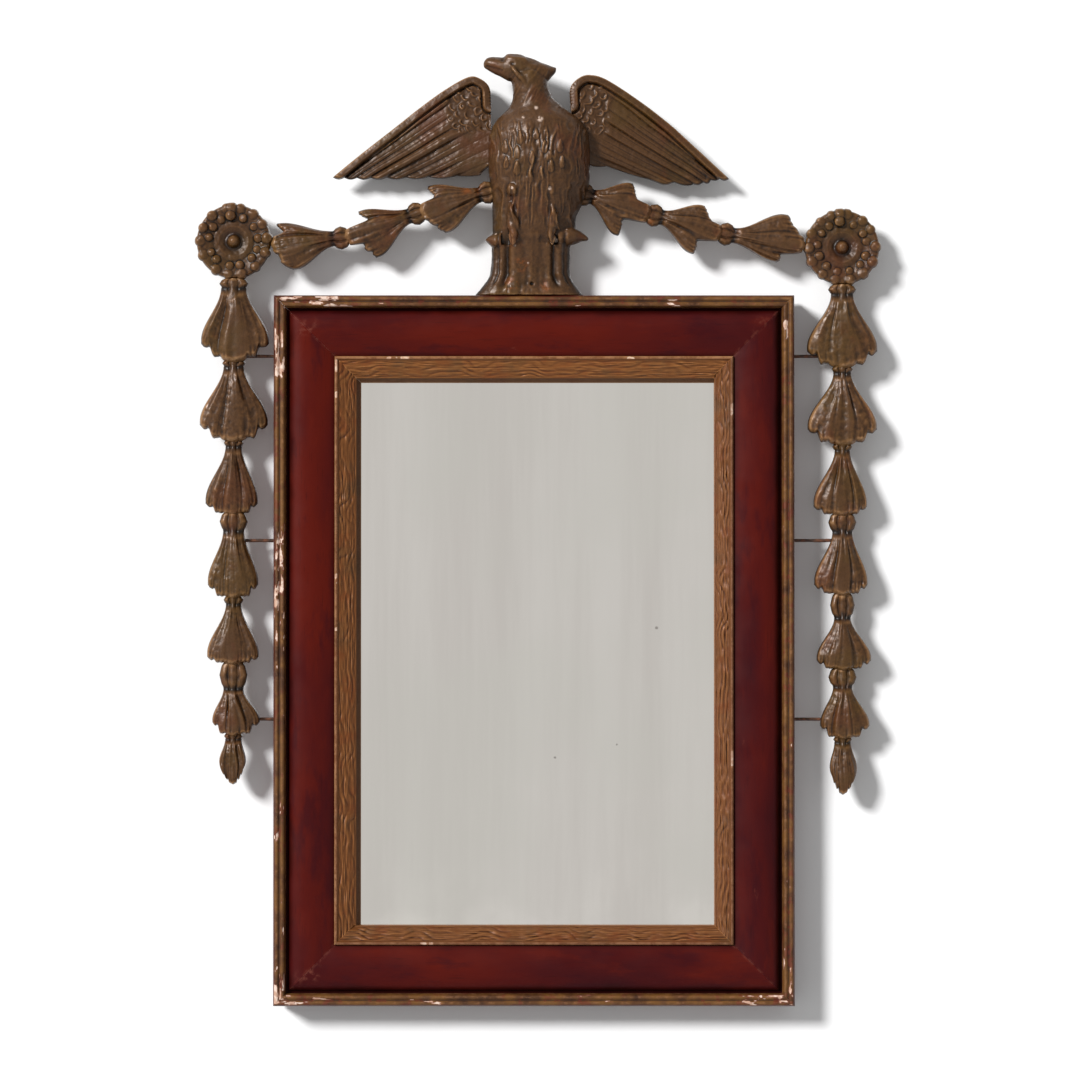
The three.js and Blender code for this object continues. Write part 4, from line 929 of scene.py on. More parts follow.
def husk_surface(shape, minus_mouth, plus_mouth, seed):
    """x, height and z of a husk that hangs from the origin: a small collar, then a bell of soft petals."""
    pick = np.random.default_rng(seed)
    across = np.linspace(-1, 1, HUSK_COLUMNS)
    away = np.abs(across)
    reach = np.where(across < 0, mouth_line(minus_mouth, away), mouth_line(plus_mouth, away))
    cuts = [(sign * (c + pick.uniform(-0.03, 0.03)), pick.uniform(0.4, 1)) for c in CUTS for sign in (-1, 1)]
    for at, depth in cuts:
        reach = reach - 0.018 * depth * bump(across, at, 0.03)
    kernel = np.array([1, 2, 3, 2, 1]) / 9
    reach = np.convolve(np.pad(reach, 2, mode="edge"), kernel, mode="valid")
    s = np.tile(across, (COLLAR_ROWS + BODY_ROWS, 1))
    u = np.linspace(0, 1, COLLAR_ROWS, endpoint=False)[:, None]
    t = np.linspace(0, 1, BODY_ROWS)[:, None] ** 0.9
    collar, neck = shape["collar"], shape["neck"]
    # The collar is a pair of small nubs beside the stem.
    nub = np.interp(u, [0, 0.15, 0.5, 0.85, 1], [0.62, 0.84, 1, 0.84, 0.72])
    collar_half = lerp(nub * shape["collar_half"], neck, ease(0.8, 1, u))
    widest = np.where(across < 0, shape["minus"], shape["plus"])
    pinch = 1 - 0.35 * t**3 if shape.get("bud") else 1
    half = lerp(neck, widest, ease(0, FLARE_END, t)) * pinch
    x = np.concatenate([across * collar_half, across * half])
    z = np.concatenate([lerp(shape["lap"], -collar, u) + 0 * across, -lerp(collar, shape["length"] * reach, t)])
    u_all = np.concatenate([u, np.ones((BODY_ROWS, 1))])
    t_all = np.concatenate([np.zeros((COLLAR_ROWS, 1)), t])
    in_collar = 1 - ease(0, 0.12, t_all)
    dome = (1 - 0.94 * s**2) ** 0.42
    fullness = 0.58 + 0.3 * np.sin(math.pi * np.minimum(1, t_all * 0.85))
    height = HUSK_EDGE + (HUSK_CROWN - HUSK_EDGE) * fullness * dome
    # Between nubs and stem the collar is cut in.
    stem = bump(s, 0.02 * pick.uniform(-1, 1), 0.26)
    nubs = np.sin(math.pi * np.clip(u_all, 0, 1)) * bump(np.abs(s), 0.68, 0.26)
    height += in_collar * (1.2 * stem + 1.3 * nubs - 0.9 * bump(np.abs(s), 0.36, 0.1) - 2.0)
    # The bell: a middle leaf between two valleys, soft folds that spread from the neck, and one bright ridge.
    grown = ease(0.02, 0.4, t_all)
    bend = 0.06 * np.sin(3.0 * t_all + pick.uniform(0, 6)) + pick.uniform(-0.07, 0.07) * t_all
    wander = s + bend * grown
    w = np.abs(wander)

    def folds(columns, rows, key):
        place = np.broadcast_arrays(wander * columns, t_all * rows, 3.7 * seed)
        return noise(np.stack(place, axis=-1), 1.0, key)

    height += grown * (2.0 * folds(2.3, 1.0, 51) + 1.1 * folds(5.2, 1.4, 52) + 0.15 * folds(12, 2.2, 53))
    height += grown * 0.9 * np.sqrt(np.clip(1 - (w / 0.42) ** 2, 0, 1))
    for sign in (-1, 1):
        valley = bump(wander * sign, 0.44 + pick.uniform(-0.06, 0.06) - 0.08 * t_all, 0.07)
        height -= valley * grown * pick.uniform(0.5, 1.3)
    shine_at = pick.choice([-1, 1]) * pick.uniform(0.2, 0.55)
    shine = bump(wander, shine_at * (0.5 + 0.5 * t_all), 0.12)
    height += 1.5 * shine * ease(0, 0.2, t_all) * (1 - ease(0.6, 0.95, t_all))
    for at, depth in cuts:
        height -= 0.8 * depth * bump(wander, at, 0.04) * ease(0.72, 1.0, t_all)
    height += 0.6 * ease(0.45, 0.85, t_all) * (1 - np.abs(s) ** 3)
    place = plane_points(x, z) + 90 * seed
    height += layered_noise(place, seed, (0.3, 5), (0.2, 2.8), (0.1, 1.5))
    over = height - (HUSK_CROWN - 1.6)
    height = np.where(over > 0, HUSK_CROWN - 1.6 + 2.2 * np.tanh(over / 2.2), height)
    # Rounded rims, but for the middle leaf's end, which runs on under the next collar.
    roll = 0.05 + 0.03 * np.abs(s)
    closing = np.clip((t_all - 1 + roll) / roll, 0, 1)
    if not shape.get("bud"):
        closing = closing * ease(MIDDLE_LEAF - 0.06, MIDDLE_LEAF + 0.04, np.abs(s))
        closing = np.maximum(closing, 0.86 * np.clip((t_all - 0.93) / 0.07, 0, 1))
    end = np.sqrt(1 - 0.97 * closing**2)
    start = np.sqrt(1 - np.clip((0.3 - u_all) / 0.3, 0, 1) ** 2) if shape.get("round_top") else 1
    side_roll = np.sqrt(1 - np.clip((np.abs(s) - 0.93) / 0.07, 0, 1) ** 2)
    rim = 0.6
    height = rim + np.maximum(height - rim, 0) * end * start * side_roll
    return x, height, z


def add_husk(name, shape, mouths, seed, at, turn=0.0):
    x, height, z = husk_surface(shape, *mouths, seed)
    c, s = math.cos(turn), math.sin(turn)
    made = relief(name + "_carving", x * c + z * s + at[0], height, -x * s + z * c + at[1], HUSK_BACK)
    mark_carving(made.data, HUSK_BACK, HUSK_BACK + 10)
    finish_piece(made, BRONZE, [name], sharp=60, ridge_rounds=14, ridge_scale=0.6)


# Small losses to the gesso, by pixel of the photograph and radius in mm.
CHIPS = [
    (540, 121, 2.3), (523, 119, 1.3), (536, 109, 1.6), (481, 172, 1.8), (549.5, 190, 1.5), (512, 190, 1.0),
    (556, 240, 1.3), (271, 232, 1.0), (425, 216, 0.9), (388, 252, 1.4), (857, 208, 1.0),
    (566.7, 229.7, 0.7), (495.7, 233.8, 0.8), (515, 245.7, 0.8), (528, 262.8, 0.8),
]
# Where the gilding glows orange: pixel of the photograph and radius in mm.
EMBERS = [(470, 185, 10), (520, 265, 7), (512, 284, 6), (545, 286, 6), (400, 232, 7), (650, 225, 7)]


def near_places(points, places, rough):
    """How far each point lies in one of some round patches with ragged rims."""
    made = np.zeros(len(points))
    for px, py, radius in places:
        x, z = photo_place(px, py)
        away = np.hypot(points[:, 0] - x, points[:, 2] - z) + rough * noise(points, 4 * rough, 7)
        made = np.maximum(made, 1 - ease(0.4 * radius, 1.3 * radius, away))
    return made


def mark_carving(mesh, low, high):
    points = read_points(mesh)
    mark(mesh, "chip", near_places(points, CHIPS, 0.5))
    mark(mesh, "ember", near_places(points, EMBERS, 3.0))
    mark_depth(mesh, low, high)


# Collar, collar's half width, neck and how far the side tips reach, for each drop husk from the top.
DROPS = {
    "left": [
        (4, 12.5, 11, 0.76), (3, 10, 8.8, 0.78), (3, 8.5, 7, 0.84), (13, 12, 9, 0.83), (4, 8.5, 6.5, 0.88),
        (20, 12, 8.5, 0.8), (2, 8, 7, 0.66),
    ],
    "right": [
        (4, 12, 9.5, 0.78), (3, 9, 7.5, 0.78), (3, 8.5, 6.5, 0.86), (13, 12, 8.5, 0.86), (18, 10.5, 7, 0.86),
        (13, 12, 8, 0.8), (2, 8, 7, 0.66),
    ],
}
WAYS = {"left": -1, "right": 1}
HUSK_LAP = 3.4  # how far a husk's collar runs up under the one above
ROSETTE_LAP = 4.5  # how far the husk next to a rosette runs under its beads


def rosette_middle(side):
    low, high = mm_box("rosette_" + side)
    return (low[0] + high[0]) / 2, (low[2] + high[2]) / 2


for side, rows in DROPS.items():
    line = rosette_middle(side)[0]
    for i, (collar, collar_half, neck, tip) in enumerate(rows):
        name = f"drop_husk_{side}_{i + 1}"
        low, high = mm_box(name)
        last = i == len(rows) - 1
        shape = {
            "collar": collar, "collar_half": collar_half, "neck": neck, "bud": last,
            "minus": line - low[0], "plus": high[0] - line, "length": high[2] - low[2],
            "lap": ROSETTE_LAP if i == 0 else HUSK_LAP,
        }
        if last:
            shape["minus"], shape["plus"] = 1.1 * shape["minus"], 1.1 * shape["plus"]
        mouth = [(a, min(0.97, tip + past)) for a, past in (BUD_MOUTH if last else DROP_MOUTH)]
        add_husk(name, shape, (mouth, mouth), 10 * (i + 1) + (side == "right"), (line, high[2]))

# Swags: where the husks begin and end, as a share of the way out to the rosette and mm above the frame.
# Each husk: half widths above and below, and the mouths on those sides.
ROSETTE_REACH = 35.2  # rosette's middle to the last husk's end
SWAGS = {
    "left": {
        "start": (37.6, 89.5), "middle": [(0.277, 71.4), (0.57, 50.1)], "end": 44.8,
        "husks": [
            (19.5, 23.3, [(0.4, 0.78), (0.5, 0.755), (0.7, 0.79), (0.9, 0.82), (1, 0.79)],
             [(0.36, 0.93), (0.46, 0.915), (0.56, 0.9), (0.66, 0.83), (0.76, 0.835), (0.88, 0.79), (1, 0.74)]),
            (17.5, 25.2, [(0.4, 0.68), (0.48, 0.655), (0.65, 0.7), (0.88, 0.75), (1, 0.73)],
             [(0.38, 0.8), (0.6, 0.81), (0.7, 0.79), (0.76, 0.73), (0.88, 0.735), (1, 0.7)]),
            (17.3, 23.5, [(0.38, 0.93), (0.46, 0.87), (0.56, 0.82), (0.75, 0.87), (0.93, 0.91), (1, 0.88)],
             [(0.4, 0.91), (0.55, 0.9), (0.72, 0.88), (0.88, 0.825), (1, 0.72)]),
        ],
    },
    "right": {
        "start": (41, 87.6), "middle": [(0.268, 69.7), (0.543, 53.5)], "end": 42.5,
        "husks": [
            (20.9, 25.7, [(0.37, 0.79), (0.45, 0.76), (0.65, 0.72), (0.88, 0.68), (1, 0.64)],
             [(0.38, 0.7), (0.45, 0.65), (0.7, 0.665), (0.95, 0.665), (1, 0.64)]),
            (19, 23.5, [(0.37, 0.84), (0.46, 0.81), (0.66, 0.76), (0.88, 0.71), (1, 0.67)],
             [(0.37, 0.87), (0.42, 0.82), (0.47, 0.7), (0.72, 0.71), (0.95, 0.705), (1, 0.68)]),
            (25, 16.8, [(0.38, 0.92), (0.54, 0.89), (0.66, 0.83), (0.8, 0.79), (0.93, 0.77), (1, 0.73)],
             [(0.37, 0.93), (0.44, 0.88), (0.5, 0.8), (0.56, 0.73), (0.9, 0.73), (1, 0.69)]),
        ],
    },
}
SWAG_PLAY = 1.6


def swag_stops(side):
    swag, way = SWAGS[side], WAYS[side]
    out = rosette_middle(side)[0]
    start = swag["start"]
    inner = [(way * lerp(start[0], abs(out), share), up) for share, up in swag["middle"]]
    stops = [(way * start[0], start[1]), *inner, (out - way * ROSETTE_REACH, swag["end"])]
    return [np.array((x, frame_top + up)) for x, up in stops]


for side, swag in SWAGS.items():
    way = WAYS[side]
    stops = swag_stops(side)
    for i, (upper, lower, upper_mouth, lower_mouth) in enumerate(swag["husks"]):
        along = stops[i + 1] - stops[i]
        minus, plus = (upper, lower) if way < 0 else (lower, upper)
        shape = {
            "collar": 9, "collar_half": 10, "neck": 6.5, "minus": minus, "plus": plus, "round_top": i == 0,
            "length": float(np.hypot(*along)) - SWAG_PLAY / 2 + (ROSETTE_LAP if i == 2 else 0),
            "lap": HUSK_LAP + 0.6,
        }
        mouths = (upper_mouth, lower_mouth) if way < 0 else (lower_mouth, upper_mouth)
        add_husk(f"swag_husk_{side}_{i + 1}", shape, mouths, 100 + 10 * i + (side == "right"), stops[i],
                 math.atan2(-along[0], -along[1]))

# ---- rosettes ----
DISH_RADIUS = 31.8
DISH = [
    (0, 9.0), (0.07, 8.6), (0.12, 7.2), (0.155, 5.0), (0.19, 3.2), (0.24, 2.8), (0.32, 3.8), (0.4, 4.6),
    (0.48, 4.5), (0.55, 4.1), (0.64, 4.8), (0.78, 6.0), (0.9, 6.6), (1.0, 5.8), (1.1, 4.6),
]
# Rings of beads: how many, at what radius, how large, how high their middles stand, and their first angle.
BEAD_RINGS = [(14, 28.6, 4.9, 4.4, 0.1), (13, 21.2, 3.7, 4.6, 0.33)]
CROWNING_BEADS = [(-2.0, 28.4, 5.6, 4.4), (-2.5, 22.0, 4.4, 6.4)]  # x, z, radius, height of the middle
BEAD_REACH = 33.5  # rosette's middle to the outside of its beads


def soft_maximum(a, b, width):
    """The larger of two heights, with the crease between them filled."""
    share = np.clip(0.5 + 0.5 * (a - b) / width, 0, 1)
    return lerp(b, a, share) + width * share * (1 - share)


def rosette(side, seed):
    x0, z0 = rosette_middle(side)
    pick = np.random.default_rng(seed)
    beads = [
        (orbit * math.cos(a), orbit * math.sin(a),
         size * pick.uniform(0.86, 1.06), base * pick.uniform(0.8, 1.15))
        for count, orbit, size, base, first in BEAD_RINGS
        for a in (2 * math.pi * (np.arange(count) + first + pick.uniform(-0.16, 0.16, count)) / count)
    ] + CROWNING_BEADS
    angle = np.linspace(0, 2 * math.pi, 300, endpoint=False)
    outline = np.full_like(angle, DISH_RADIUS)
    for bx, bz, size, _ in beads:
        along = bx * np.cos(angle) + bz * np.sin(angle)
        beside = bx * np.sin(angle) - bz * np.cos(angle)
        reach = along + np.sqrt(np.maximum(size**2 - beside**2, 0)) * (np.abs(beside) < size)
        outline = np.maximum(outline, np.where(along > 0, reach, 0))
    outline = np.minimum(outline, BEAD_REACH)
    r = (np.linspace(0, 1, 78) ** 0.8)[:, None]
    x = r * outline * np.cos(angle)
    z = r * outline * np.sin(angle)
    away = np.hypot(x, z) / DISH_RADIUS
    place = plane_points(x, z)
    height = np.interp(away, *zip(*DISH)) + 0.3 * noise(place, 5, seed) + 0.2 * noise(place, 2.4, seed)
    beaded = np.zeros_like(height)
    for bx, bz, size, base in beads:
        d = np.hypot(x - bx, z - bz)
        beaded = np.maximum(beaded, np.where(d < size, base + 0.85 * np.sqrt(np.maximum(size**2 - d**2, 0)), 0))
    height = soft_maximum(beaded + 0.5 * noise(place, 3.4, seed + 2), height, 2.0)
    rim = np.sqrt(1 - np.clip((r - 0.94) / 0.06, 0, 1) ** 2)
    height = 0.8 + (height - 0.8) * rim
    front = np.stack([x + x0, -HUSK_BACK - height, z + z0], axis=-1)
    back = front[-1:].copy()
    back[..., 1] = -HUSK_BACK
    vertices, faces = loft(np.concatenate([front[1:], back]))
    made = new_object("rosette_carving_" + side, vertices, faces)
    mark_carving(made.data, HUSK_BACK, HUSK_BACK + 9)
    finish_piece(made, BRONZE, ["rosette_" + side], sharp=60)


rosette("left", 5)
rosette("right", 8)

# ---- wires, stays and hanger rings ----


def straight_node(name, radius):
    """A fine rod along the longest way of a packed one."""
    low, high = mm_box(name)
    longest = int(np.argmax(high - low))
    middle = (low + high) / 2
    path = np.tile(middle, (40, 1))
    path[:, longest] = np.linspace(low[longest], high[longest], 40)
    if longest == 2:
        path[:, 2] = path[::-1, 2]
    made = tube(name + "_rod", path, radius, wobble=0.12, seed=len(name))
    finish_piece(made, IRON, [name], sharp=60)


for side in WAYS:
    straight_node("drop_wire_" + side, 1.2)
    for i in (1, 2, 3):
        straight_node(f"stay_{side}_{i}", 1.4)

WIRE_DEPTH = 10
for side, way in WAYS.items():
    stops = swag_stops(side)
    x0, z0 = rosette_middle(side)
    route = [(way * 21, stops[0][1] + 4), *stops, (x0 - way * 2, z0)]
    path = through([(x, -WIRE_DEPTH, z) for x, z in route], 90)
    made = tube("swag_wire_" + side + "_rod", path, 1.2, wobble=0.12, seed=3)
    finish_piece(made, IRON, ["swag_wire_" + side], sharp=60)

RING_WIRE = 1.2
for side in WAYS:
    low, high = mm_box("hanger_ring_" + side)
    x0, pivot_y = (low[0] + high[0]) / 2, (low[1] + high[1]) / 2
    top, half = high[2] - RING_WIRE, (high[0] - low[0]) / 2 - RING_WIRE
    drop = high[2] - low[2] - 2 * RING_WIRE
    corner = 1.1
    bow = [
        (half * math.cos(a), -corner - (drop - corner) * math.sin(a)) for a in np.linspace(0, math.pi, 48)
    ]
    bar = [(x, 0) for x in np.linspace(-half + corner, half - corner, 16)]
    path = [(x0 + x, pivot_y, top + z) for x, z in bar + bow]
    made = tube("ring_" + side, path, RING_WIRE, sides=16, closed=True)
    finish_piece(made, BRASS, ["hanger_ring_" + side], sharp=70, body=side + "_ring")

# ---- wings ----
CREST_BACK = 7
crest_base = mm_box("eagle_plinth")[0][2]
# Heights are above the crest's base. far is the point that a wing's feathers run towards, span the angles of
# the lowest feather and of the leading edge seen from there, coverts the small feathers' part, and lower
# the line of the feathers' ends.
WINGS = {
    "left": {
        "leading": [
            (-36.6, 163), (-38, 178), (-45.9, 185.7), (-56, 187.2), (-74.8, 177.2), (-96.9, 161.5),
            (-122.4, 141.5), (-147.9, 122), (-172.4, 102.6),
        ],
        "lee": [(-37, 112), (-46, 105.5)],
        "far": (-290.7, 12.3), "span": (22, 36.9), "coverts": (-74, 141),
        "lower": [(-166, 101.6), (-140, 101.4), (-100, 101.8), (-70, 102.6), (-46, 105)],
        "bright": (3.5, 0.35),
    },
    "right": {
        "leading": [
            (31, 163), (31, 178), (39, 186.8), (48.5, 189), (62.9, 184.6), (90, 167),
            (115.6, 147.5), (138.6, 127), (167.0, 101.2),
        ],
        "lee": [(38, 115), (51, 111.5)],
        "far": (247.4, 35.3), "span": (20.8, 39), "coverts": (64, 139),
        "lower": [
            (46.2, 111.9), (62.1, 112.6), (84.2, 104.4), (109.5, 96.4), (118.6, 97.6), (134.6, 95.8),
            (149.6, 98.4), (152.7, 100.6), (162, 100.6),
        ],
        "bright": (5.2, 0.3),
    },
}
WING_FEATHERS = 7
RIM_WIDTH = 7.3


def wing(side, seed):
    shape = WINGS[side]
    way = WAYS[side]
    rows, columns = 210, 200
    a = np.linspace(0, 1, rows)[:, None]
    c = np.linspace(0, 1, columns)[None, :]
    edge = through(shape["leading"], rows)
    lee = np.array(shape["lee"][0]) + (np.array(shape["lee"][1]) - shape["lee"][0]) * a
    x = lerp(edge[:, :1], lee[:, :1], c)
    z = lerp(edge[:, 1:], lee[:, 1:], c)
    # Lanes of feathers, from 0 at the leading edge.
    low_angle, high_angle = np.radians(shape["span"])
    far_x, far_z = shape["far"]

    def lanes(x, z):
        angle = np.arctan2(z - far_z, np.abs(x - far_x))
        return WING_FEATHERS * (high_angle - angle) / (high_angle - low_angle)

    ends = np.interp(way * x[-1], *zip(*sorted((way * px, pz) for px, pz in shape["lower"])))
    tips = np.abs(np.sin(math.pi * lanes(x[-1], ends)))
    z = z + a**5 * (ends - 1.6 * tips - z[-1])
    band = lanes(x, z)
    off_edge = np.min(np.hypot(x[..., None] - edge[::3, 0], z[..., None] - edge[::3, 1]), axis=-1)
    place = plane_points(x, z)
    band = band + 0.1 * noise(place, 26, seed + 3)
    number, f = np.floor(band), band % 1
    base = lerp(9.3, 3.6, a)
    out = way * x
    covert_x, covert_z = way * shape["coverts"][0], shape["coverts"][1]
    in_coverts = (1 - ease(covert_x - 6, covert_x + 3, out + 2.5 * noise(place, 12, seed + 4)))
    in_coverts = in_coverts * ease(covert_z - 5, covert_z + 3, z)
    plain = (1 - ease(covert_x - 16, covert_x, out)) * (1 - in_coverts)
    # Long feathers: each a soft ridge that laps over the next with a dark step.
    lapped = np.interp(f, [0, 0.08, 0.3, 0.62, 0.84, 0.95, 1], [0, 0.3, 0.72, 1, 0.9, 0.35, 0])
    height_of = 0.8 + 0.35 * np.sin(2.1 * number + seed)
    lane, width = shape["bright"]
    broad = 1.3 * bump(band, lane, width)
    split = 0.5 * bump(f, 0.42 + 0.12 * np.sin(1.7 * number), 0.05) * ease(0.35, 0.6, a)
    height_of = height_of * (1 + 0.3 * noise(place, 22, seed + 5))
    feathers = (2.2 * lapped * height_of - 1.2 + broad - split) * (1 - in_coverts) * (1 - 0.75 * plain)
    # Small covert feathers: staggered curls with raised borders.
    along = way * (x - shape["lee"][0][0]) * 0.78 - (z - 150) * 0.62 + 1.6 * noise(place, 11, seed + 9)
    beside = way * (x - shape["lee"][0][0]) * 0.62 + (z - 150) * 0.78 + 1.6 * noise(place, 10, seed + 10)
    row_of = np.floor(along / 7.4)
    u = along / 7.4 - row_of
    v = (beside / 8.2 + 0.5 * (row_of % 2) + 0.14 * np.sin(row_of * 2.3)) % 1 - 0.5
    curl = np.hypot((u - 0.42) * 1.05, v) + 0.22 * noise(place, 4.5, seed + 6)
    border = bump(curl, 0.36, 0.13) * ease(0.1, 0.8, u + 0.3 * noise(place, 9, seed + 7))
    coverts = (1.25 * border - 0.4 + 0.8 * noise(place, 5.5, seed + 8)) * in_coverts * ease(0.015, 0.06, a)
    middle = ease(RIM_WIDTH - 0.7, RIM_WIDTH + 0.9, off_edge)
    across_rim = np.clip(off_edge / RIM_WIDTH, 0, 1)
    rim = 3.2 * np.interp(across_rim, [0, 0.2, 0.5, 0.78, 0.92, 1], [0.35, 0.72, 0.9, 1, 0.7, 0.1]) * (1 - middle)
    height = base + middle * (feathers + coverts) + rim
    height -= 1.2 * bump(off_edge, RIM_WIDTH + 0.6, 0.7)
    height += 1.3 * np.sin(math.pi * np.clip(c, 0, 1)) * (1 - a)
    height += layered_noise(place, seed, (0.35, 9), (0.2, 3.4), (0.08, 1.5))
    around = np.minimum(np.minimum(c / 0.012, (1 - c) / 0.02), np.minimum(a / 0.02 + 0.4, (1 - a) / 0.018))
    roll = np.sqrt(1 - (1 - np.clip(around, 0, 1)) ** 2)
    height = 1.2 + (height - 1.2) * roll
    made = relief("wing_carving_" + side, x, height, z + crest_base, CREST_BACK + 0.3)
    mark_carving(made.data, CREST_BACK, CREST_BACK + 11)
    finish_piece(made, BRONZE, ["eagle_wing_" + side], sharp=70, ridge_scale=0.8)


wing("left", 21)
wing("right", 34)

# ---- eagle ----
CREST_HEIGHT = mm_box("eagle_body")[1][2] - crest_base
# Heights above the crest's base, middle, half width, front depth and half depth.
TRUNK = [
    (0, -3.9, 46.6, 20.7, 17), (3, -4, 43.8, 20.7, 17), (6.4, -4, 41.2, 20.6, 17), (10, -4, 38.4, 20.4, 17),
    (14, -3.8, 36, 20, 17), (19, -3.5, 34.2, 20, 17), (29, -3, 33.4, 21, 18), (43, -2.5, 33.6, 24, 20),
    (54, 0, 35.4, 28, 21), (67, 0.2, 36, 31, 23),
    (80, 3, 38.7, 34.4, 26), (93, 4.7, 42, 38, 29), (110, 4.3, 43.4, 41.6, 31), (127, 4.3, 43.4, 41.6, 31),
    (140, 4, 41.6, 39.5, 29), (150, 3.8, 35.3, 36, 26), (157, 3, 26.8, 32, 22), (162, 1.3, 21.7, 30, 19),
    (169, -0.9, 17, 29, 16), (177.5, -3, 15.7, 29, 14.5), (185, -4, 15, 28.5, 13.5), (190, -4, 12, 27, 11),
]
# From the beak's blunt tip to the crest at the back of the head: x, height, half height and half depth.
HEAD = [
    (-43.0, 196.2, 1.2, 1.6), (-42.4, 196.6, 3.0, 2.8), (-40.6, 197.0, 4.6, 4.2), (-37.8, 197.0, 6.0, 5.8),
    (-33.8, 196.0, 7.4, 7.2), (-29.0, 194.8, 8.3, 8.4), (-25.8, 193.9, 9.2, 9.2), (-22.4, 194.4, 11.8, 10.2),
    (-18, 194.2, 12.4, 11.2), (-12, 193.0, 12.4, 11.6), (-6, 191.2, 12.0, 11.6), (0.9, 188.9, 11.4, 11.4),
    (9.4, 189.0, 8.4, 9.6), (15.3, 190.8, 4.6, 6.2), (19.2, 192.4, 1.9, 3),
]
HEAD_DEPTH = 21


def trunk_solid():
    rings = []
    for height, middle, half_width, front, half_depth in through(TRUNK, 120):
        square = 3 if height < 43 else 2
        angle = circle(72)
        c, s = np.cos(angle), np.sin(angle)
        x = middle + half_width * np.sign(c) * np.abs(c) ** (2 / square)
        y = half_depth * np.sign(s) * np.abs(s) ** (2 / square) - CREST_BACK - front + half_depth
        rings.append(np.stack([x, y, np.full_like(x, height)], axis=-1))
    return loft(rings)


def head_solid():
    rings = []
    angle = circle(40)
    for x, height, half_height, half_depth in through(HEAD, 60):
        y, z = -HEAD_DEPTH + half_depth * np.cos(angle), height + half_height * np.sin(angle)
        rings.append(np.stack([np.full_like(angle, x), y, z], axis=-1))
    return loft(rings)


def ball(middle, size, count=28):
    """An ellipsoid as a loft of rings."""
    rings = []
    angle = circle(count)
    for level in np.linspace(-math.pi / 2 + 0.08, math.pi / 2 - 0.08, count // 2):
        flat, up = math.cos(level), math.sin(level)
        ring = [flat * np.cos(angle), flat * np.sin(angle), np.full_like(angle, up)]
        rings.append(np.stack(ring, axis=-1) * size + middle)
    return loft(rings)


def spur(steps, depth):
    """A leaf that leaves the trunk sideways: x, height and radius at each step."""
    angle = circle(24)
    return loft([
        np.stack([np.full_like(angle, x), -depth + 1.3 * r * np.cos(angle), h + r * np.sin(angle)], axis=-1)
        for x, h, r in through(steps, 24)
    ])


def ridge_line(points, width, height):
    """A tapering ridge along a line on the front: x, depth and height above the base."""
    path = through(points, 26)
    swell = np.sin(np.linspace(0.12, math.pi - 0.12, len(path)))
    angle = circle(16)
    return loft([
        np.stack([
            x + width * k * np.cos(angle), -d + height * k * np.sin(angle), np.full_like(angle, h),
        ], axis=-1)
        for (x, d, h), k in zip(path, swell)
    ])


def hanging_locks(x, z, seed):
    """Irregular carved locks that hang down: 1 along their ridges and 0 between."""
    warp = 3.2 * noise(plane_points(x, z), 17, seed) + 1.2 * noise(plane_points(x, z), 6, seed + 1)
    stretched = np.stack([(x + warp) / 4.6, np.zeros_like(x), z / 21], axis=-1)
    coarse = 1 - np.abs(noise(stretched, 1.0, seed + 2)) * 1.6
    fine = np.stack([(x + 0.6 * warp) / 2.6, np.zeros_like(x), z / 12], axis=-1)
    return np.clip(0.72 * coarse + 0.4 * (1 - np.abs(noise(fine, 1.0, seed + 3)) * 1.7), 0, 1.1)


# Larger drops on the breast: pixel of the photograph, half width and half height in mm.
BREAST_DROPS = [
    (520, 140, 2.6, 6), (517, 154, 2.4, 6), (517, 170, 2.6, 6.5), (545, 149, 2.6, 6), (549, 158, 2.2, 5),
    (551, 168, 2.6, 6), (532, 160, 2.2, 6), (560, 148, 2.4, 6), (505, 148, 2.4, 6), (506, 164, 2.2, 5.5),
    (562, 164, 2.2, 5.5), (536, 136, 2.2, 5), (530, 178, 2.4, 6), (541, 176, 2.2, 6),
]


def drops_on_breast(x, z):
    made = np.zeros_like(x)
    for px, py, half_width, half_height in BREAST_DROPS:
        bx, bz = photo_place(px, py)
        up = (z + crest_base - bz) / half_height
        side = (x - bx) / (half_width * (1.05 - 0.4 * np.clip(up, -1, 1)))
        made = np.maximum(made, np.sqrt(np.clip(1 - side**2 - up**2, 0, 1)))
    return made


def groove(x, z, start, end, width):
    """1 along a straight line between two points, falling to 0 at about the width."""
    (x0, z0), (x1, z1) = start, end
    length = (x1 - x0) ** 2 + (z1 - z0) ** 2
    t = np.clip(((x - x0) * (x1 - x0) + (z - z0) * (z1 - z0)) / length, 0, 1)
    return bump(np.hypot(x - x0 - t * (x1 - x0), z - z0 - t * (z1 - z0)), 0, width)


NAIL_HOLE = (-2, 9.6)


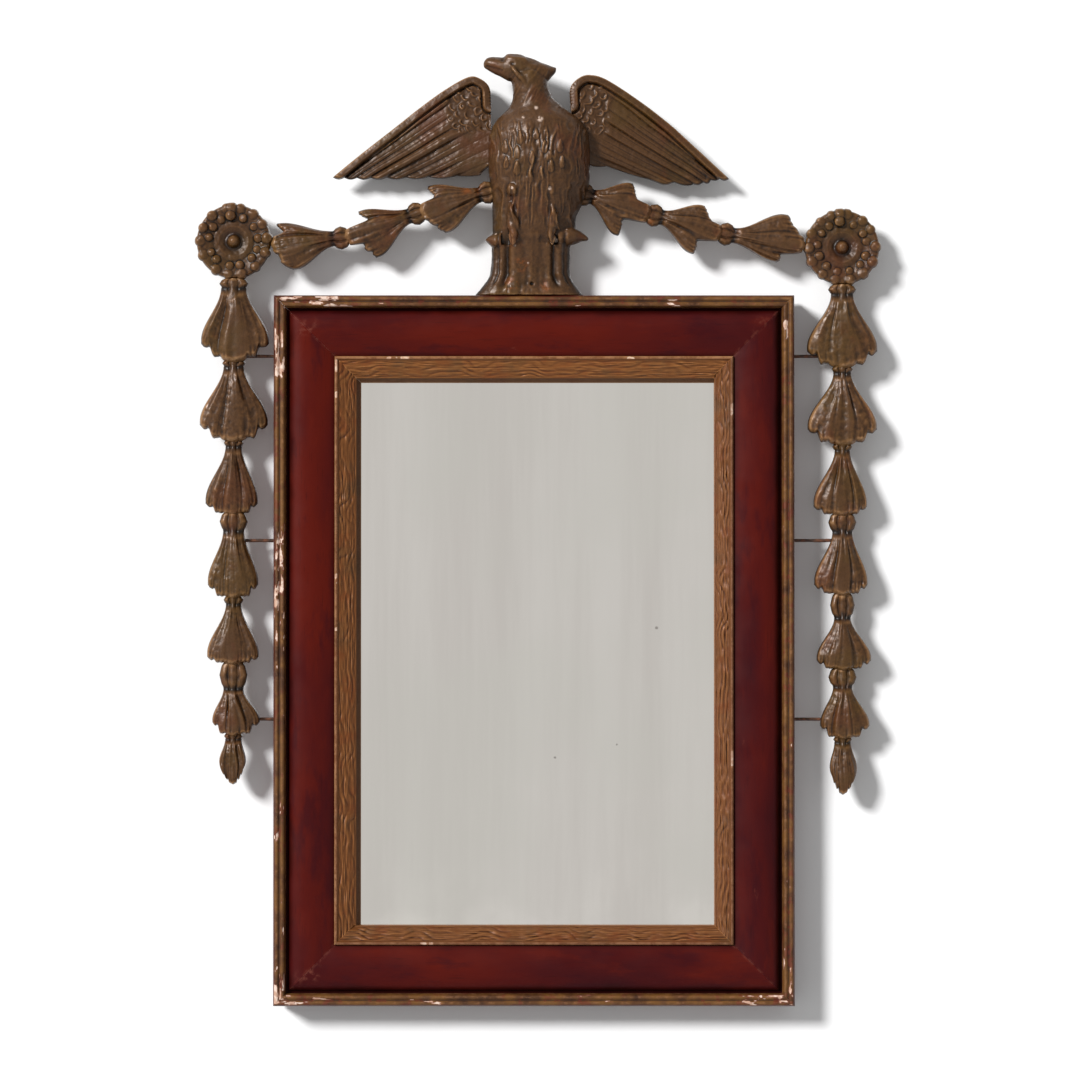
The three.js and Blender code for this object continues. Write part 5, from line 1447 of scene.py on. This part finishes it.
def carve_eagle(points, normals):
    """How far each point of the eagle moves out, in mm."""
    x, z = points[:, 0], points[:, 2] - crest_base
    facing = ease(0.15, 0.6, -normals[:, 1])
    seen = ease(-0.25, 0.2, -normals[:, 1])
    # Breast and belly: two broad swells, hanging locks and larger drops.
    breast = ease(90, 102, z) * (1 - ease(136, 152, z))
    belly = ease(55, 64, z) * (1 - ease(90, 100, z))
    feathered = np.maximum(breast, belly)
    out = feathered * seen * (1.25 * hanging_locks(x, z, 5) - 0.8)
    out += breast * seen * (1.5 * drops_on_breast(x, z) - 0.3)
    out += -1.3 * facing * bump(x - 4, 0, 7) * ease(84, 100, z) * (1 - ease(130, 150, z))
    neck = ease(150, 166, z) * (1 - ease(190, 197, z)) * (x > -20)
    out += neck * seen * (0.5 * hanging_locks(x - 0.5 * (z - 180), z, 9) - 0.3)
    # Shaft: a smooth middle panel between dark channels, and flares over the foot.
    shaft = 1 - ease(48, 58, z)
    flare = 1 + 0.3 * np.maximum(0, 18 - z) / 18
    for line, depth, width in ((-23.4, 3.6, 3.0), (17, 3.4, 2.9), (-30.5, 1.2, 1.6), (26, 1.4, 1.8)):
        out -= shaft * seen * ease(3, 13, z) * depth * bump(x, -3 + (line + 3) * flare, width)
    panel = shaft * facing * (np.abs(x + 3) < 20)
    grain = 0.35 * noise(np.stack([x / 3, 0 * x, z / 16], axis=-1), 1.0, 12)
    out += panel * (0.5 * np.cos((x + 1) * 0.42) + grain)
    collar = bump(z + 1.5 * noise(points, 9, 13), 50.5, 3)
    out += 0.6 * facing * collar * ease(-28, -22, x) * (1 - ease(20, 26, x))
    foot = bump(z, 9, 4.5) * bump(x, -3.2, 23) * facing
    out -= 1.3 * foot
    for x0 in (-33, -21, -7, 8, 20, 30):
        out += 0.6 * facing * (1 - ease(3, 13, z)) * bump(x, x0, 4.4)
    out -= 2.6 * facing * bump(np.hypot(x - NAIL_HOLE[0], z - NAIL_HOLE[1]), 0, 1.5)
    # Head: a soft mouth line under the hooked upper beak, and a hollow under the brow.
    on_head = ease(186, 189, z) * (x < 2)
    out -= on_head * seen * 0.7 * groove(x, z, (-40.0, 194.6), (-27.5, 190.6), 1.3)
    out -= on_head * seen * 0.7 * bump(np.hypot(x + 27.5, (z - 200) * 1.3), 0, 2.4)
    out -= on_head * seen * 1.1 * bump(np.hypot(x + 18.5, (z - 196.0) * 1.4), 0, 2.4)
    out += on_head * seen * 1.0 * groove(x, z, (-22.6, 201.6), (-8, 199.8), 2.2)
    return out


def eagle():
    solids = [
        trunk_solid(), head_solid(),
        ball((-18.4, -36.6, 88.2), (5.6, 6.8, 6.4)), ball((14.0, -37.0, 88.4), (5.4, 6.8, 7.4)),
        ball((-18.0, -32.4, 66), (5.0, 5.2, 25)), ball((15.5, -33, 66), (4.6, 5.2, 25)),
        ridge_line([(-20.6, 37, 78), (-17.6, 37, 66), (-12.2, 33.2, 52)], 2.7, 3.4),
        ridge_line([(14.0, 38, 80), (17, 37, 67), (22, 33, 53)], 2.2, 3.2),
        spur([
            (20, 50.5, 9), (29, 50.6, 8.6), (35, 50.2, 6.6), (40, 49.8, 4.4), (44, 48.6, 2.6), (46.6, 47.8, 0.9),
        ], 20),
        spur([(-28, 47, 8), (-34, 46.2, 6.4), (-38.5, 46.8, 3.4), (-41.6, 47.2, 0.9)], 20),
        ridge_line([(-21, 31.0, 196.5), (-14.7, 34.0, 188), (-6, 33.6, 177.5), (-2.3, 31.5, 170)], 2.8, 2.4),
        ball((-2.5, -30.2, 182), (3.4, 3.4, 13)),
    ]
    lifted = [(np.asarray(p) + (0, 0, crest_base), f) for p, f in solids]
    made = fuse("eagle_carving", lifted, 0.7)
    mesh = made.data
    points = soften(mesh, read_points(mesh), 6)
    write_points(mesh, points)
    points = points + read_normals(mesh) * carve_eagle(points, read_normals(mesh))[:, None]
    rough = layered_noise(points, 41, (0.36, 8), (0.22, 3.4), (0.1, 1.6))
    points = points + read_normals(mesh) * rough[:, None]
    points[:, 1] = np.minimum(points[:, 1], -CREST_BACK)
    points[:, 2] = np.clip(points[:, 2], crest_base, crest_base + CREST_HEIGHT)
    write_points(mesh, points)
    mark_carving(mesh, CREST_BACK + 6, CREST_BACK + 32)
    finish_piece(made, BRONZE, ["eagle_body", "eagle_plinth"], sharp=80, ridge_scale=0.6)


eagle()

# ---- stage ----
WALL_GAP = 9.3  # behind the part's back
FLOOR_DROP = 760
COVE_RADIUS = 260
STAGE_HALF_WIDTH = 4200
WALL_TOP = 3200
FLOOR_END = 5200  # in front of the wall
STAGE_SEEN = srgb(249, 249, 249)
STAGE_BOUNCED = srgb(160, 160, 160)  # what the mirror's matt surfaces get of it
SEEN_RAYS = {"Is Camera Ray": 1.0, "Is Glossy Ray": 1.0, "Is Transmission Ray": 1.0}


def stage_material():
    """White from the front, with little bounce; clear from behind, so that the back is seen and lit."""
    f = Finish("stage")
    colour = f.mix(f.by_ray(SEEN_RAYS), STAGE_BOUNCED, STAGE_SEEN)
    diffuse = f.node("ShaderNodeBsdfDiffuse", {"Color": colour})
    clear = f.node("ShaderNodeBsdfTransparent", {})
    back = f.node("ShaderNodeNewGeometry", {}).outputs["Backfacing"]
    open_to = f.math("MAXIMUM", back, f.by_ray({"Is Shadow Ray": 1.0}))
    mix = f.node("ShaderNodeMixShader", {0: open_to, 1: diffuse.outputs[0], 2: clear.outputs[0]})
    f.feed(f.out.inputs["Surface"], mix.outputs[0])
    return f.material


def make_stage():
    profile = [(WALL_GAP, WALL_TOP)]
    for a in np.linspace(0, math.pi / 2, 24):
        y = WALL_GAP - COVE_RADIUS * (1 - math.cos(a))
        profile.append((y, -FLOOR_DROP + COVE_RADIUS * (1 - math.sin(a))))
    profile.append((-FLOOR_END, -FLOOR_DROP))
    mesh = bpy.data.meshes.new("backdrop")
    points = [(x * MM, y * MM, z * MM) for y, z in profile for x in (-STAGE_HALF_WIDTH, STAGE_HALF_WIDTH)]
    faces = [(2 * i, 2 * i + 1, 2 * i + 3, 2 * i + 2) for i in range(len(profile) - 1)]
    mesh.from_pydata(points, [], faces)
    mesh.update()
    if mesh.polygons[0].normal.y > 0:
        mesh.flip_normals()
    mesh.shade_smooth()
    mesh.materials.append(stage_material())
    backdrop = add_object("backdrop", mesh)
    backdrop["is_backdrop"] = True


make_stage()


def make_sun(name, direction, strength, spread):
    """A soft distant lamp that shines along direction."""
    data = bpy.data.lights.new(name, "SUN")
    data.energy = strength
    data.angle = math.radians(spread)
    add_object(name, data).rotation_euler = Vector(direction).to_track_quat("-Z", "Y").to_euler()


make_sun("key", (0.88, 1.0, -0.6), 3.75, 13)
make_sun("back_key", (-0.12, -1.0, -0.35), 1.6, 30)


FILL = 0.42  # what the world gives to matt surfaces
REFLECTED = 0.6  # what polished ones see of it


def make_world():
    """A soft fill, shown plain white behind the mirror."""
    world = bpy.data.worlds.new("studio")
    world.use_nodes = True
    bpy.context.scene.world = world
    nodes = Nodes(world.node_tree)
    rays = {"Is Glossy Ray": REFLECTED, "Is Transmission Ray": 1.0, "Is Camera Ray": 1.0}
    sky = nodes.node("ShaderNodeBackground", {"Color": (1, 1, 1, 1), "Strength": nodes.by_ray(rays, FILL)})
    nodes.node("ShaderNodeOutputWorld", {"Surface": sky.outputs[0]})


make_world()
bpy.context.scene.view_settings.view_transform = "Standard"

low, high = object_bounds()
